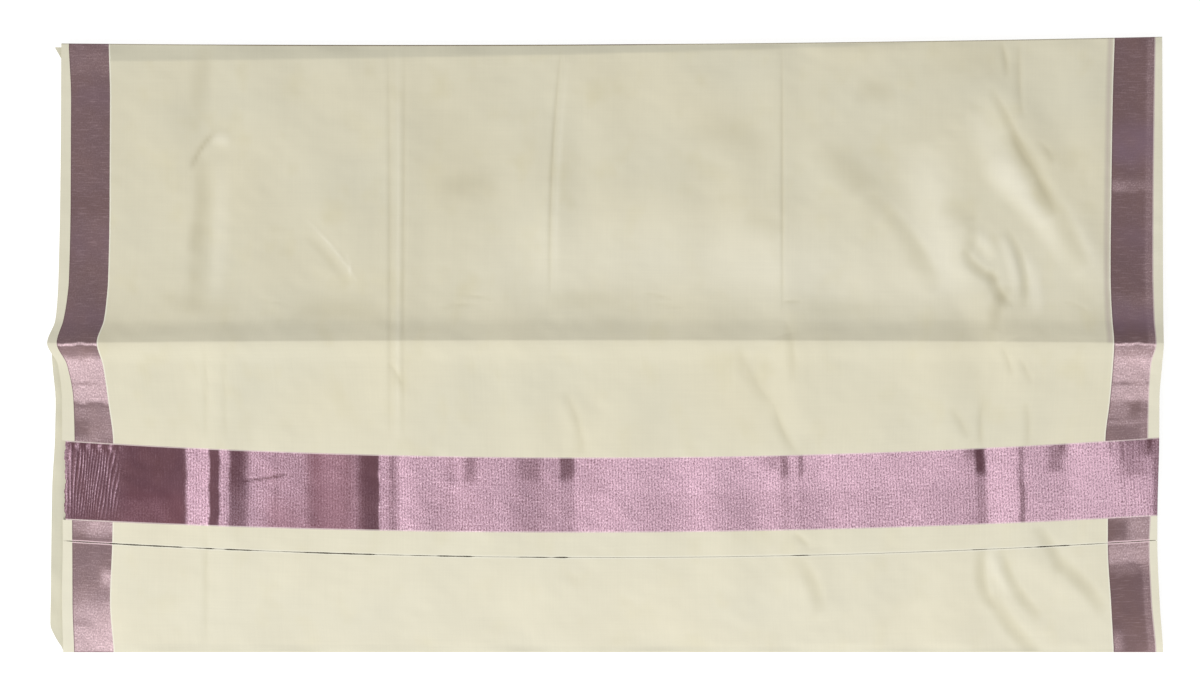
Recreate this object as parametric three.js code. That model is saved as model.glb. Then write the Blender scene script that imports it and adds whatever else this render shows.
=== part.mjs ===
// A kasavu saree folded into a flat stack, with its pallu end on top. Millimetres, +Z up.
// The cloth lies selvedge to selvedge along X. Its length runs along Y, from the upper fold at +Y to
// the lower fold at -Y. The origin is the middle of the stack's flat underside.
//
// The stack was once doubled along its middle and opened again, so a low ridge runs across it there.
// The top stretch is one cloth: plain cotton ground, a zari border near each selvedge and a wide zari
// band. Each woven zone of it is a wall of its own, parted from its neighbours by a hair.

import * as THREE from 'three';

// ---- Thicknesses and clearances ----
const WALL = 1.5; // a stretch of cloth as a solid wall
const SEAM = 0.3; // between two solids that meet
const AIR = 0.5; // loose room under the top stretch, which its troughs use up
const STACK = 12; // height of the whole stack at its two folded ends
const FOLD_RADIUS = 4; // outside of the top stretch where it turns down at a fold
const FOLD_TURNS = [30, 60, 90]; // degrees of turn at which a fold has a row of points

// ---- The lie of the cloth ----
// One row for each section across the stack, from the upper fold to the lower one:
//   at      Y of the weft line at the left selvedge (first and last row: where the folds begin)
//   skew    how much higher the same weft line ends at the right selvedge
//   bow     how far its middle hangs towards -Y
//   height  rise of the surface over the stack's ends
//   parts   rows of facets down to the next section
//   edgeL .. edgeR  X of the selvedges and of both sides of each border
const SECTIONS = table(
  ['at', 'skew', 'bow', 'height', 'parts', 'edgeL', 'outerL', 'innerL', 'innerR', 'outerR', 'edgeR'],
  [
    [312.5, 7.0, 4.5, 0.0, 3, -572.5, -564.5, -522.5, 534.5, 577.5, 584.5],
    [257.0, 6.0, 3.0, 3.0, 3, -572.5, -562.0, -521.0, 532.5, 576.5, 584.5],
    [152.0, 4.0, 1.0, 8.0, 3, -573.0, -562.0, -521.0, 530.5, 575.0, 584.5],
    [68.0, 2.0, -1.0, 12.5, 1, -574.5, -563.5, -522.5, 529.5, 574.5, 584.5],
    [46.5, 1.5, -2.0, 14.6, 1, -575.5, -565.5, -524.0, 530.0, 575.0, 584.5],
    [25.5, 1.0, -2.5, 17.8, 2, -577.5, -569.0, -526.5, 531.0, 575.5, 584.5],
    [1.5, 0.0, -3.0, 24.0, 2, -585.5, -575.5, -533.5, 532.5, 577.0, 584.5],
    [-21.5, 0.0, -1.0, 20.0, 1, -574.5, -565.0, -527.5, 531.5, 571.5, 583.0],
    [-58.5, 1.0, 8.0, 16.3, 2, -570.5, -558.5, -522.0, 528.5, 569.5, 580.5],
    [-100.5, 3.0, 19.5, 13.0, 3, -570.5, -557.5, -517.0, 524.0, 569.0, 580.5],
    [-184.0, 4.0, 15.5, 7.8, 1, -570.5, -560.5, -518.0, 527.0, 572.0, 579.0],
    [-206.0, 0.5, 18.0, 6.4, 2, -570.5, -560.5, -518.5, 527.0, 571.0, 579.0],
    [-268.5, 0.0, 9.0, 3.0, 4, -571.5, -560.5, -521.0, 530.5, 573.5, 581.5],
    [-319.5, 0.0, 0.0, 0.0, 0, -570.5, -559.0, -517.5, 533.5, 578.5, 585.5],
  ],
);
const UPPER_FOLD = SECTIONS[0].at;
const BAND_TOP = -100.5;
const BAND_BOTTOM = -184;
const LOWER_FOLD = SECTIONS[SECTIONS.length - 1].at;
const RIDGE_LIFT = { left: 1.15, middle: 0.92, right: 1.0 }; // share of the height, across the width

// The largest loose folds of the top stretch. Each is a soft arc from (x1, y1) to (x2, y2), whose
// middle lies sag to its left, reach wide on each side and rise high (a trough where it is negative).
const LOOSE_FOLDS = table(
  ['x1', 'y1', 'x2', 'y2', 'sag', 'reach', 'rise'],
  [
    [400, 285, 516, 55, 14, 34, 2.6],
    [372, 130, 420, 4, -10, 30, 2.2],
    [205, 220, 345, 55, 12, 36, 1.8],
    [-47, 306, -60, 40, 4, 26, 1.6],
    [185, 306, 186, 20, -3, 26, 1.6],
    [-222, 300, -220, -90, 6, 30, 1.7],
    [-408, 200, -404, -300, 8, 34, 1.5],
    [188, 10, 212, -95, -4, 28, 1.9],
    [-44, -50, -24, -100, 4, 26, 1.4],
    [395, -215, 452, -312, -8, 32, 1.5],
    [435, -205, 512, -270, -8, 28, 1.3],
    [212, -215, 232, -290, 4, 28, 1.2],
    [-380, 120, -330, 40, 10, 40, -0.4],
    [20, 250, 110, 110, 18, 60, -0.4],
  ],
);

// The left edge of the second stretch, which shows beside the top one: X where its weft line is at.
const SECOND_EDGE = table(
  ['at', 'left'],
  [
    [312.5, -579.5],
    [294.0, -570.5],
    [257.0, -569.0],
    [68.0, -570.0],
    [25.5, -575.0],
    [1.5, -581.5],
    [-21.5, -580.5],
    [-58.5, -577.5],
    [-100.5, -578.5],
    [-150.0, -581.5],
    [-268.5, -583.5],
    [-294.0, -584.0],
    [-307.0, -579.0],
    [-319.5, -571.0],
  ],
);
const UNDER_INSET = 3; // how far the lengths below stay inside the top stretch's right selvedge

// ---- The hidden lengths ----
const LAYER_EDGES = 4; // rounded edges that show round the sides of the stack
const LAYER_TUCK = 0.5; // how far the hollow between two edges lies outside the core
const LAYER_ROUND = 2.2; // how far an edge stands out of that hollow
const LAYER_STRAY = 0.9; // how unevenly the edges lie over each other
const LAYER_PROFILE = [0, 0.28, 0.72]; // heights within one edge, as shares of it
const CORE_COLUMNS = 12;

// ---- Colours ----
const COTTON = { color: 0xe4dec6, roughness: 0.9, metalness: 0.0 };
const SELVEDGE = { color: 0xe9e4d2, roughness: 0.9, metalness: 0.0 };
const ZARI_BORDER = { color: 0x9a7a82, roughness: 0.45, metalness: 0.6 };
const ZARI_BAND = { color: 0xb98a9b, roughness: 0.4, metalness: 0.7 };
const UNDER_COTTON = { color: 0xd6d1b8, roughness: 0.9, metalness: 0.0 };

/** Rows of numbers as objects with the given column names. */
function table(columns, rows) {
  return rows.map((row) => Object.fromEntries(columns.map((name, i) => [name, row[i]])));
}

/** The value of a table's column at a station: smooth, and without overshoot between two rows. */
function smooth(rows, column, at) {
  const last = rows.length - 1;
  const found = rows.findIndex((row, i) => i < last && at >= rows[i + 1].at);
  const i = found < 0 ? last - 1 : found;
  const step = (k) => (rows[k + 1][column] - rows[k][column]) / (rows[k + 1].at - rows[k].at);
  const slope = (k) => {
    if (k === 0) return step(0);
    if (k === last) return step(last - 1);
    const [a, b] = [step(k - 1), step(k)];
    return a * b <= 0 ? 0 : (2 * a * b) / (a + b);
  };
  const span = rows[i + 1].at - rows[i].at;
  const t = THREE.MathUtils.clamp((at - rows[i].at) / span, 0, 1);
  const ease = 3 * t ** 2 - 2 * t ** 3;
  const value = (1 - ease) * rows[i][column] + ease * rows[i + 1][column];
  return value + span * ((t ** 3 - 2 * t ** 2 + t) * slope(i) + (t ** 3 - t ** 2) * slope(i + 1));
}

/** The share of the ridge's height that the surface has at u, from -1 at the left to 1 at the right. */
function lift(u) {
  const { left, middle, right } = RIDGE_LIFT;
  return middle + ((right - left) / 2) * u + ((left + right) / 2 - middle) * u * u;
}

/** The plan and height of the stack's surface at x on the weft line at. */
function lie(x, at) {
  const left = smooth(SECTIONS, 'edgeL', at);
  const right = smooth(SECTIONS, 'edgeR', at);
  const u = (2 * x - left - right) / (right - left);
  const skew = (smooth(SECTIONS, 'skew', at) * (u + 1)) / 2;
  const bow = smooth(SECTIONS, 'bow', at) * (1 - u * u);
  return { x, y: at + skew - bow, z: STACK + smooth(SECTIONS, 'height', at) * lift(u) };
}

/** How far the loose folds raise the top stretch at a place. */
function looseRise(x, y) {
  let total = 0;
  for (const fold of LOOSE_FOLDS) {
    const [dx, dy] = [fold.x2 - fold.x1, fold.y2 - fold.y1];
    const length = Math.hypot(dx, dy);
    const along = ((x - fold.x1) * dx + (y - fold.y1) * dy) / length ** 2;
    if (along <= 0 || along >= 1) continue;
    const aside = ((y - fold.y1) * dx - (x - fold.x1) * dy) / length - fold.sag * 4 * along * (1 - along);
    if (Math.abs(aside) >= fold.reach) continue;
    const across = Math.cos((Math.PI / 2) * (aside / fold.reach)) ** 2;
    total += fold.rise * across * Math.sin(Math.PI * along) ** 0.6;
  }
  return Math.max(total, -AIR);
}

/** A point of the top stretch, depth below its outer face. */
function topPoint(x, row, depth) {
  const flat = lie(x, row.at);
  const turn = THREE.MathUtils.degToRad(row.turn);
  const side = row.at > 0 ? 1 : -1;
  const radius = FOLD_RADIUS - depth;
  const rise = looseRise(flat.x, flat.y) * Math.cos(turn);
  return new THREE.Vector3(
    flat.x,
    flat.y + side * radius * Math.sin(turn),
    flat.z - FOLD_RADIUS + radius * Math.cos(turn) + rise,
  );
}

/** Rows of the cloth from one station down to another, both of them sections of the table. */
function rowsBetween(from, to) {
  const rows = [];
  SECTIONS.forEach((section, i) => {
    if (section.at > from || section.at <= to) return;
    for (let k = 0; k < section.parts; k += 1) {
      rows.push({ at: section.at + ((SECTIONS[i + 1].at - section.at) * k) / section.parts, turn: 0 });
    }
  });
  return [...rows, { at: to, turn: 0 }];
}

/** The rows of one zone of the top stretch, with its turned folds or its half of a seam. */
function zoneRows(from, to) {
  const rows = rowsBetween(from, to);
  const last = rows.length - 1;
  if (from !== UPPER_FOLD) rows[0].at -= SEAM / 2;
  if (to !== LOWER_FOLD) rows[last].at += SEAM / 2;
  const turned = (at) => FOLD_TURNS.map((turn) => ({ at, turn }));
  return [
    ...(from === UPPER_FOLD ? turned(UPPER_FOLD).reverse() : []),
    ...rows,
    ...(to === LOWER_FOLD ? turned(LOWER_FOLD) : []),
  ];
}

/** A closed solid that is built up from points and four-sided faces. */
class Solid {
  constructor() {
    this.points = [];
    this.triangles = [];
  }

  add(point) {
    this.points.push(point);
    return this.points.length - 1;
  }

  /** Four corners in order, anticlockwise as seen from outside. */
  quad(a, b, c, d) {
    this.triangles.push(a, b, c, a, c, d);
  }

  /** A grid of point numbers, rows from +Y to -Y and columns from -X to +X, facing up or down. */
  face(grid, up) {
    for (let r = 0; r + 1 < grid.length; r += 1) {
      for (let c = 0; c + 1 < grid[r].length; c += 1) {
        const corners = [grid[r][c], grid[r + 1][c], grid[r + 1][c + 1], grid[r][c + 1]];
        this.quad(...(up ? corners : corners.reverse()));
      }
    }
  }

  /** The strip between two closed loops of point numbers, the upper one first. */
  band(upper, lower) {
    upper.forEach((point, i) => {
      const next = (i + 1) % upper.length;
      this.quad(point, lower[i], lower[next], upper[next]);
    });
  }

  mesh(name, finish) {
    const geometry = new THREE.BufferGeometry();
    const numbers = this.points.flatMap((point) => point.toArray());
    geometry.setAttribute('position', new THREE.Float32BufferAttribute(numbers, 3));
    geometry.setIndex(this.triangles);
    geometry.computeVertexNormals();
    const mesh = new THREE.Mesh(geometry, new THREE.MeshStandardMaterial(finish));
    mesh.name = name;
    return mesh;
  }
}

/** The places round a grid, anticlockwise from above, starting at its lower left corner. */
function roundGrid(rowCount, columnCount) {
  const [bottom, right] = [rowCount - 1, columnCount - 1];
  const places = [];
  for (let c = 0; c < right; c += 1) places.push({ r: bottom, c, out: [0, -1] });
  for (let r = bottom; r > 0; r -= 1) places.push({ r, c: right, out: [1, 0] });
  for (let c = right; c > 0; c -= 1) places.push({ r: 0, c, out: [0, 1] });
  for (let r = 0; r < bottom; r += 1) places.push({ r, c: 0, out: [-1, 0] });
  return places;
}

/** A wall of cloth between two grids of points of the same size. */
function clothWall(name, finish, outer, inner) {
  const solid = new Solid();
  const number = (grid) => grid.map((row) => row.map((point) => solid.add(point)));
  const [above, below] = [number(outer), number(inner)];
  const places = roundGrid(outer.length, outer[0].length);
  solid.face(above, true);
  solid.face(below, false);
  solid.band(places.map(({ r, c }) => above[r][c]), places.map(({ r, c }) => below[r][c]));
  return solid.mesh(name, finish);
}

/** One woven zone of the top stretch, between two of its lengthwise lines and two of its sections. */
function zone({ name, finish, left, right, from, to, columns }) {
  const rows = zoneRows(from, to);
  const seam = (line) => (line.startsWith('edge') ? 0 : SEAM / 2);
  const grid = (depth) => rows.map((row) => {
    const start = smooth(SECTIONS, left, row.at) + seam(left);
    const end = smooth(SECTIONS, right, row.at) - seam(right);
    return Array.from({ length: columns + 1 }, (_, c) => (
      topPoint(THREE.MathUtils.lerp(start, end, c / columns), row, depth)));
  });
  return clothWall(name, finish, grid(0), grid(WALL));
}

/** The zones of the top stretch. */
function topStretch() {
  const upper = { from: UPPER_FOLD, to: BAND_TOP };
  const lower = { from: BAND_BOTTOM, to: LOWER_FOLD };
  const ground = { finish: COTTON, left: 'innerL', right: 'innerR', columns: 44 };
  const sides = [
    { name: 'selvedge_left', finish: SELVEDGE, left: 'edgeL', right: 'outerL', columns: 1 },
    { name: 'border_left', finish: ZARI_BORDER, left: 'outerL', right: 'innerL', columns: 2 },
    { name: 'border_right', finish: ZARI_BORDER, left: 'innerR', right: 'outerR', columns: 2 },
    { name: 'selvedge_right', finish: SELVEDGE, left: 'outerR', right: 'edgeR', columns: 1 },
  ];
  const band = { name: 'pallu_band', finish: ZARI_BAND, left: 'edgeL', right: 'edgeR', columns: 50 };
  return [
    zone({ name: 'ground_upper', ...ground, ...upper }),
    zone({ name: 'ground_lower', ...ground, ...lower }),
    zone({ ...band, from: BAND_TOP, to: BAND_BOTTOM }),
    ...sides.flatMap((side) => [
      zone({ ...side, ...upper, name: `${side.name}_upper` }),
      zone({ ...side, ...lower, name: `${side.name}_lower` }),
    ]),
  ];
}

/** A coarse grid of points across the whole stack, depth below its surface, between two edges. */
function underGrid(leftEdge, depth) {
  return rowsBetween(UPPER_FOLD, LOWER_FOLD).map(({ at }) => {
    const right = smooth(SECTIONS, 'edgeR', at) - UNDER_INSET;
    return Array.from({ length: CORE_COLUMNS + 1 }, (_, c) => {
      const { x, y, z } = lie(THREE.MathUtils.lerp(leftEdge(at), right, c / CORE_COLUMNS), at);
      return new THREE.Vector3(x, y, z - depth);
    });
  });
}

/** The length folded under the top stretch, which shows along the left edge. */
function secondStretch() {
  const edge = (at) => smooth(SECOND_EDGE, 'left', at);
  const depth = WALL + SEAM + AIR;
  return clothWall('second_stretch', UNDER_COTTON, underGrid(edge, depth), underGrid(edge, depth + WALL));
}

/** How far out of the core the edge of one hidden length lies, at a place round the stack. */
function stray(layer, x, y) {
  const alongX = Math.sin(x / (97 + 23 * layer) + 1.9 * layer);
  const alongY = Math.sin(y / (61 + 17 * layer) + 2.7 * layer);
  return (LAYER_STRAY * (alongX + alongY)) / 2;
}

/** The other folded lengths: one solid, flat underneath, with a rounded edge for each few of them. */
function foldedLayers() {
  const solid = new Solid();
  const top = underGrid((at) => smooth(SECTIONS, 'edgeL', at) + UNDER_INSET, 2 * WALL + 2 * SEAM + AIR);
  const above = top.map((row) => row.map((point) => solid.add(point)));
  const places = roundGrid(top.length, top[0].length);
  solid.face(above, true);

  let loop = places.map(({ r, c }) => above[r][c]);
  const levels = LAYER_EDGES * LAYER_PROFILE.length;
  for (let level = levels - 1; level >= 0; level -= 1) {
    const layer = Math.floor(level / LAYER_PROFILE.length);
    const share = LAYER_PROFILE[level % LAYER_PROFILE.length];
    const bulge = LAYER_TUCK + LAYER_ROUND * Math.sin(Math.PI * share) ** 0.8;
    const ring = places.map(({ r, c, out }) => {
      const { x, y, z } = top[r][c];
      const reach = bulge + (share > 0 ? stray(layer, x, y) : 0);
      const height = (z * (layer + share)) / LAYER_EDGES;
      return solid.add(new THREE.Vector3(x + out[0] * reach, y + out[1] * reach, height));
    });
    solid.band(loop, ring);
    loop = ring;
  }

  const below = top.map((row) => row.map(() => -1));
  places.forEach(({ r, c }, i) => {
    below[r][c] = loop[i];
  });
  top.forEach((row, r) => row.forEach(({ x, y }, c) => {
    if (below[r][c] < 0) below[r][c] = solid.add(new THREE.Vector3(x, y, 0));
  }));
  solid.face(below, false);
  return solid.mesh('folded_layers', UNDER_COTTON);
}

const saree = new THREE.Group();
saree.name = 'kasavu_saree';
saree.add(...topStretch(), secondStretch(), foldedLayers());

export default saree;
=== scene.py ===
"""A kasavu saree folded into a flat stack with its pallu end on top.

The cloth is shaped in millimetres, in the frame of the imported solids, and becomes metres where its
meshes are made. Across the cloth a place is measured from the left selvedge, along the warp. A weft
line is named by the Y at which it meets the left selvedge.
"""
import logging
import math
from dataclasses import dataclass, field, fields
from enum import Enum

import bpy
import numpy as np
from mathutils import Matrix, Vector


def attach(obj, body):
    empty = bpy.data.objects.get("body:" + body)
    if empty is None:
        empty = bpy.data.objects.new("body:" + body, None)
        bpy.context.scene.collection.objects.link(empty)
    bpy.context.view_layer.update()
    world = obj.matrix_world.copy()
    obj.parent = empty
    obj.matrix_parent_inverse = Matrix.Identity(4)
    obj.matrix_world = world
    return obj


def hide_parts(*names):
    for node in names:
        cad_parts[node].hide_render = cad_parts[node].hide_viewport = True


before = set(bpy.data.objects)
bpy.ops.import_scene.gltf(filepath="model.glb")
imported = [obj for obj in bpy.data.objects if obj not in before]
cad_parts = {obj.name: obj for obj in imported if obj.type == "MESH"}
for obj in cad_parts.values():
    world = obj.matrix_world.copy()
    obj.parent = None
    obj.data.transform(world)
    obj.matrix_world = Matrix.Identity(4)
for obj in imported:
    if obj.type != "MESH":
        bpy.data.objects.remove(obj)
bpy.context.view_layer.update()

LOG = logging.getLogger("saree")

MM = 0.001
BODY = "root"
WHITE = (1.0, 1.0, 1.0, 1.0)
SHARP_ANGLE = math.radians(50)  # faces that meet at more than this are shaded with an edge

# ---- The lie of the cloth, in millimetres ----
UPPER_FOLD = 312.5
BAND_TOP = -100.5
BAND_BOTTOM = -184.0
CUT_LINE = -206.0
RIDGE = 1.5
LOWER_FOLD = -319.5
FOLD_ROOM = 4.0  # from where the upper and lower folds begin in the solids to the stack's outline
STACK = 12.0
LENGTHS = 10  # folded lengths of cloth in the stack

# Places across the cloth: both sides of each selvedge, of each border and of the ground between them.
EDGE_LEFT, OUTER_LEFT, INNER_LEFT = 0.0, 10.0, 51.5
INNER_RIGHT, OUTER_RIGHT, EDGE_RIGHT = 1105.0, 1148.0, 1158.0
WEAVE_LINES = (EDGE_LEFT, OUTER_LEFT, INNER_LEFT, INNER_RIGHT, OUTER_RIGHT, EDGE_RIGHT)


@dataclass(frozen=True)
class Section:
    """The lie of one weft line: its skew, bow and height, and X at each of the weave's lines."""

    at: float
    skew: float
    bow: float
    height: float
    edge_left: float
    outer_left: float
    inner_left: float
    inner_right: float
    outer_right: float
    edge_right: float


SECTIONS = (
    Section(312.5, 7.0, 4.5, 0.0, -572.5, -564.5, -522.5, 534.5, 577.5, 584.5),
    Section(257.0, 6.0, 3.0, 3.0, -572.5, -562.0, -521.0, 532.5, 576.5, 584.5),
    Section(152.0, 4.0, 1.0, 8.0, -573.0, -562.0, -521.0, 530.5, 575.0, 584.5),
    Section(68.0, 2.0, -1.0, 12.5, -574.5, -563.5, -522.5, 529.5, 574.5, 584.5),
    Section(46.5, 1.5, -2.0, 14.6, -575.5, -565.5, -524.0, 530.0, 575.0, 584.5),
    Section(25.5, 1.0, -2.5, 17.8, -577.5, -569.0, -526.5, 531.0, 575.5, 584.5),
    Section(1.5, 0.0, -3.0, 24.0, -585.5, -575.5, -533.5, 532.5, 577.0, 584.5),
    Section(-21.5, 0.0, -1.0, 20.0, -574.5, -565.0, -527.5, 531.5, 571.5, 583.0),
    Section(-58.5, 1.0, 8.0, 16.3, -570.5, -558.5, -522.0, 528.5, 569.5, 580.5),
    Section(-100.5, 3.0, 19.5, 13.0, -570.5, -557.5, -517.0, 524.0, 569.0, 580.5),
    Section(-184.0, 4.0, 15.5, 7.8, -570.5, -560.5, -518.0, 527.0, 572.0, 579.0),
    Section(-206.0, 0.5, 18.0, 6.4, -570.5, -560.5, -518.5, 527.0, 571.0, 579.0),
    Section(-268.5, 0.0, 9.0, 3.0, -571.5, -560.5, -521.0, 530.5, 573.5, 581.5),
    Section(-319.5, 0.0, 0.0, 0.0, -570.5, -559.0, -517.5, 533.5, 578.5, 585.5),
)

# The left edge of the second length, which shows beside the top one: (weft line, X).
SECOND_EDGE = (
    (312.5, -579.5),
    (294.0, -570.5),
    (257.0, -569.0),
    (68.0, -570.0),
    (25.5, -575.0),
    (1.5, -581.5),
    (-21.5, -580.5),
    (-58.5, -577.5),
    (-100.5, -578.5),
    (-150.0, -581.5),
    (-268.5, -583.5),
    (-294.0, -584.0),
    (-307.0, -579.0),
    (-319.5, -571.0),
)

# How far the cut line gapes along X: (start, end, share of its full width). The rest is nearly closed.
OPEN_STRETCHES = (
    (-566, -523, 0.7),
    (-523, -445, 0.95),
    (-435, -421, 0.6),
    (-421, -411, 1.0),
    (-400, -372, 0.95),
    (-372, -356, 0.4),
    (-341, -318, 0.5),
    (-318, -243, 0.95),
    (-235, -211, 0.4),
    (-207, -180, 0.5),
    (-178, -140, 0.9),
    (-92, -59, 0.65),
    (-55, -40, 1.0),
    (194, 214, 0.7),
    (321, 384, 0.28),
    (384, 401, 0.6),
    (439, 449, 0.6),
    (451, 487, 0.85),
    (487, 525, 0.42),
    (527, 577, 0.55),
)
NEARLY_CLOSED = 0.2

# The shape of a crease: how soon it fades towards its ends, and how pointed a sharp one is.
CREASE_FADE = 0.6
CREASE_POINT = 1.7

# The pale line on either side of the open cut line, a painted highlight where its woven edges rise to the
# light: how far away, how wide to each side, how strong.
HALO_AWAY = 1.2
HALO_REACH = 0.9
HALO_SHARE = 0.6

# Places between which a graded row of places is worked out.
GRADED_SAMPLES = 6001


@dataclass(frozen=True)
class Crease:
    """A soft arc in the cloth from (x1, y1) to (x2, y2).

    Its middle lies sag to the left of the straight line. It reaches left and right of the arc by its
    two widths and stands rise high, or lies that deep where rise is negative. Along the arc the colour is
    darkened by mark, from 0 to 1, a painted shade in the crease, or lightened where mark is negative, a
    painted highlight on its lit side.
    """

    x1: float
    y1: float
    x2: float
    y2: float
    sag: float
    left: float
    right: float
    rise: float
    mark: float = 0.0

    sharp = True

    def shape(self, x: np.ndarray, y: np.ndarray) -> tuple[np.ndarray, np.ndarray]:
        """The crease at each place.

        Args:
            x: X of the places.
            y: Y of the places.

        Returns:
            The rise of the cloth and its painted shade, negative for painted highlight, both of the same
            shape as x.
        """
        dx, dy = self.x2 - self.x1, self.y2 - self.y1
        length = math.hypot(dx, dy)
        along = np.clip(((x - self.x1) * dx + (y - self.y1) * dy) / length**2, 0.0, 1.0)
        aside = ((y - self.y1) * dx - (x - self.x1) * dy) / length - self.sag * 4 * along * (1 - along)
        across = np.clip(np.abs(aside) / np.where(aside > 0, self.left, self.right), 0.0, 1.0)
        fade = np.sin(math.pi * along) ** CREASE_FADE
        if self.sharp:
            return self.rise * fade * (1 - across) ** CREASE_POINT, self.mark * fade * (1 - across) ** 2
        side = np.cos(math.pi / 2 * across) ** 2
        return self.rise * fade * side, self.mark * fade * side


@dataclass(frozen=True)
class LooseFold(Crease):
    """A broad crease with a round back."""

    sharp = False


# The largest loose folds, which the solids have too.
LOOSE_FOLDS = (
    LooseFold(400, 285, 516, 55, 14, 34, 34, 2.6),
    LooseFold(372, 130, 420, 4, -10, 30, 30, 2.2),
    LooseFold(205, 220, 345, 55, 12, 36, 36, 1.8),
    LooseFold(-47, 306, -60, 40, 4, 26, 26, 1.6),
    LooseFold(185, 306, 186, 20, -3, 26, 26, 1.6),
    LooseFold(-222, 300, -220, -90, 6, 30, 30, 1.7),
    LooseFold(-408, 200, -404, -300, 8, 34, 34, 1.5),
    LooseFold(188, 10, 212, -95, -4, 28, 28, 1.9),
    LooseFold(-44, -50, -24, -100, 4, 26, 26, 1.4),
    LooseFold(395, -215, 452, -312, -8, 32, 32, 1.5),
    LooseFold(435, -205, 512, -270, -8, 28, 28, 1.3),
    LooseFold(212, -215, 232, -290, 4, 28, 28, 1.2),
    LooseFold(-380, 120, -330, 40, 10, 40, 40, -0.4),
    LooseFold(20, 250, 110, 110, 18, 60, 60, -0.4),
)
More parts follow.
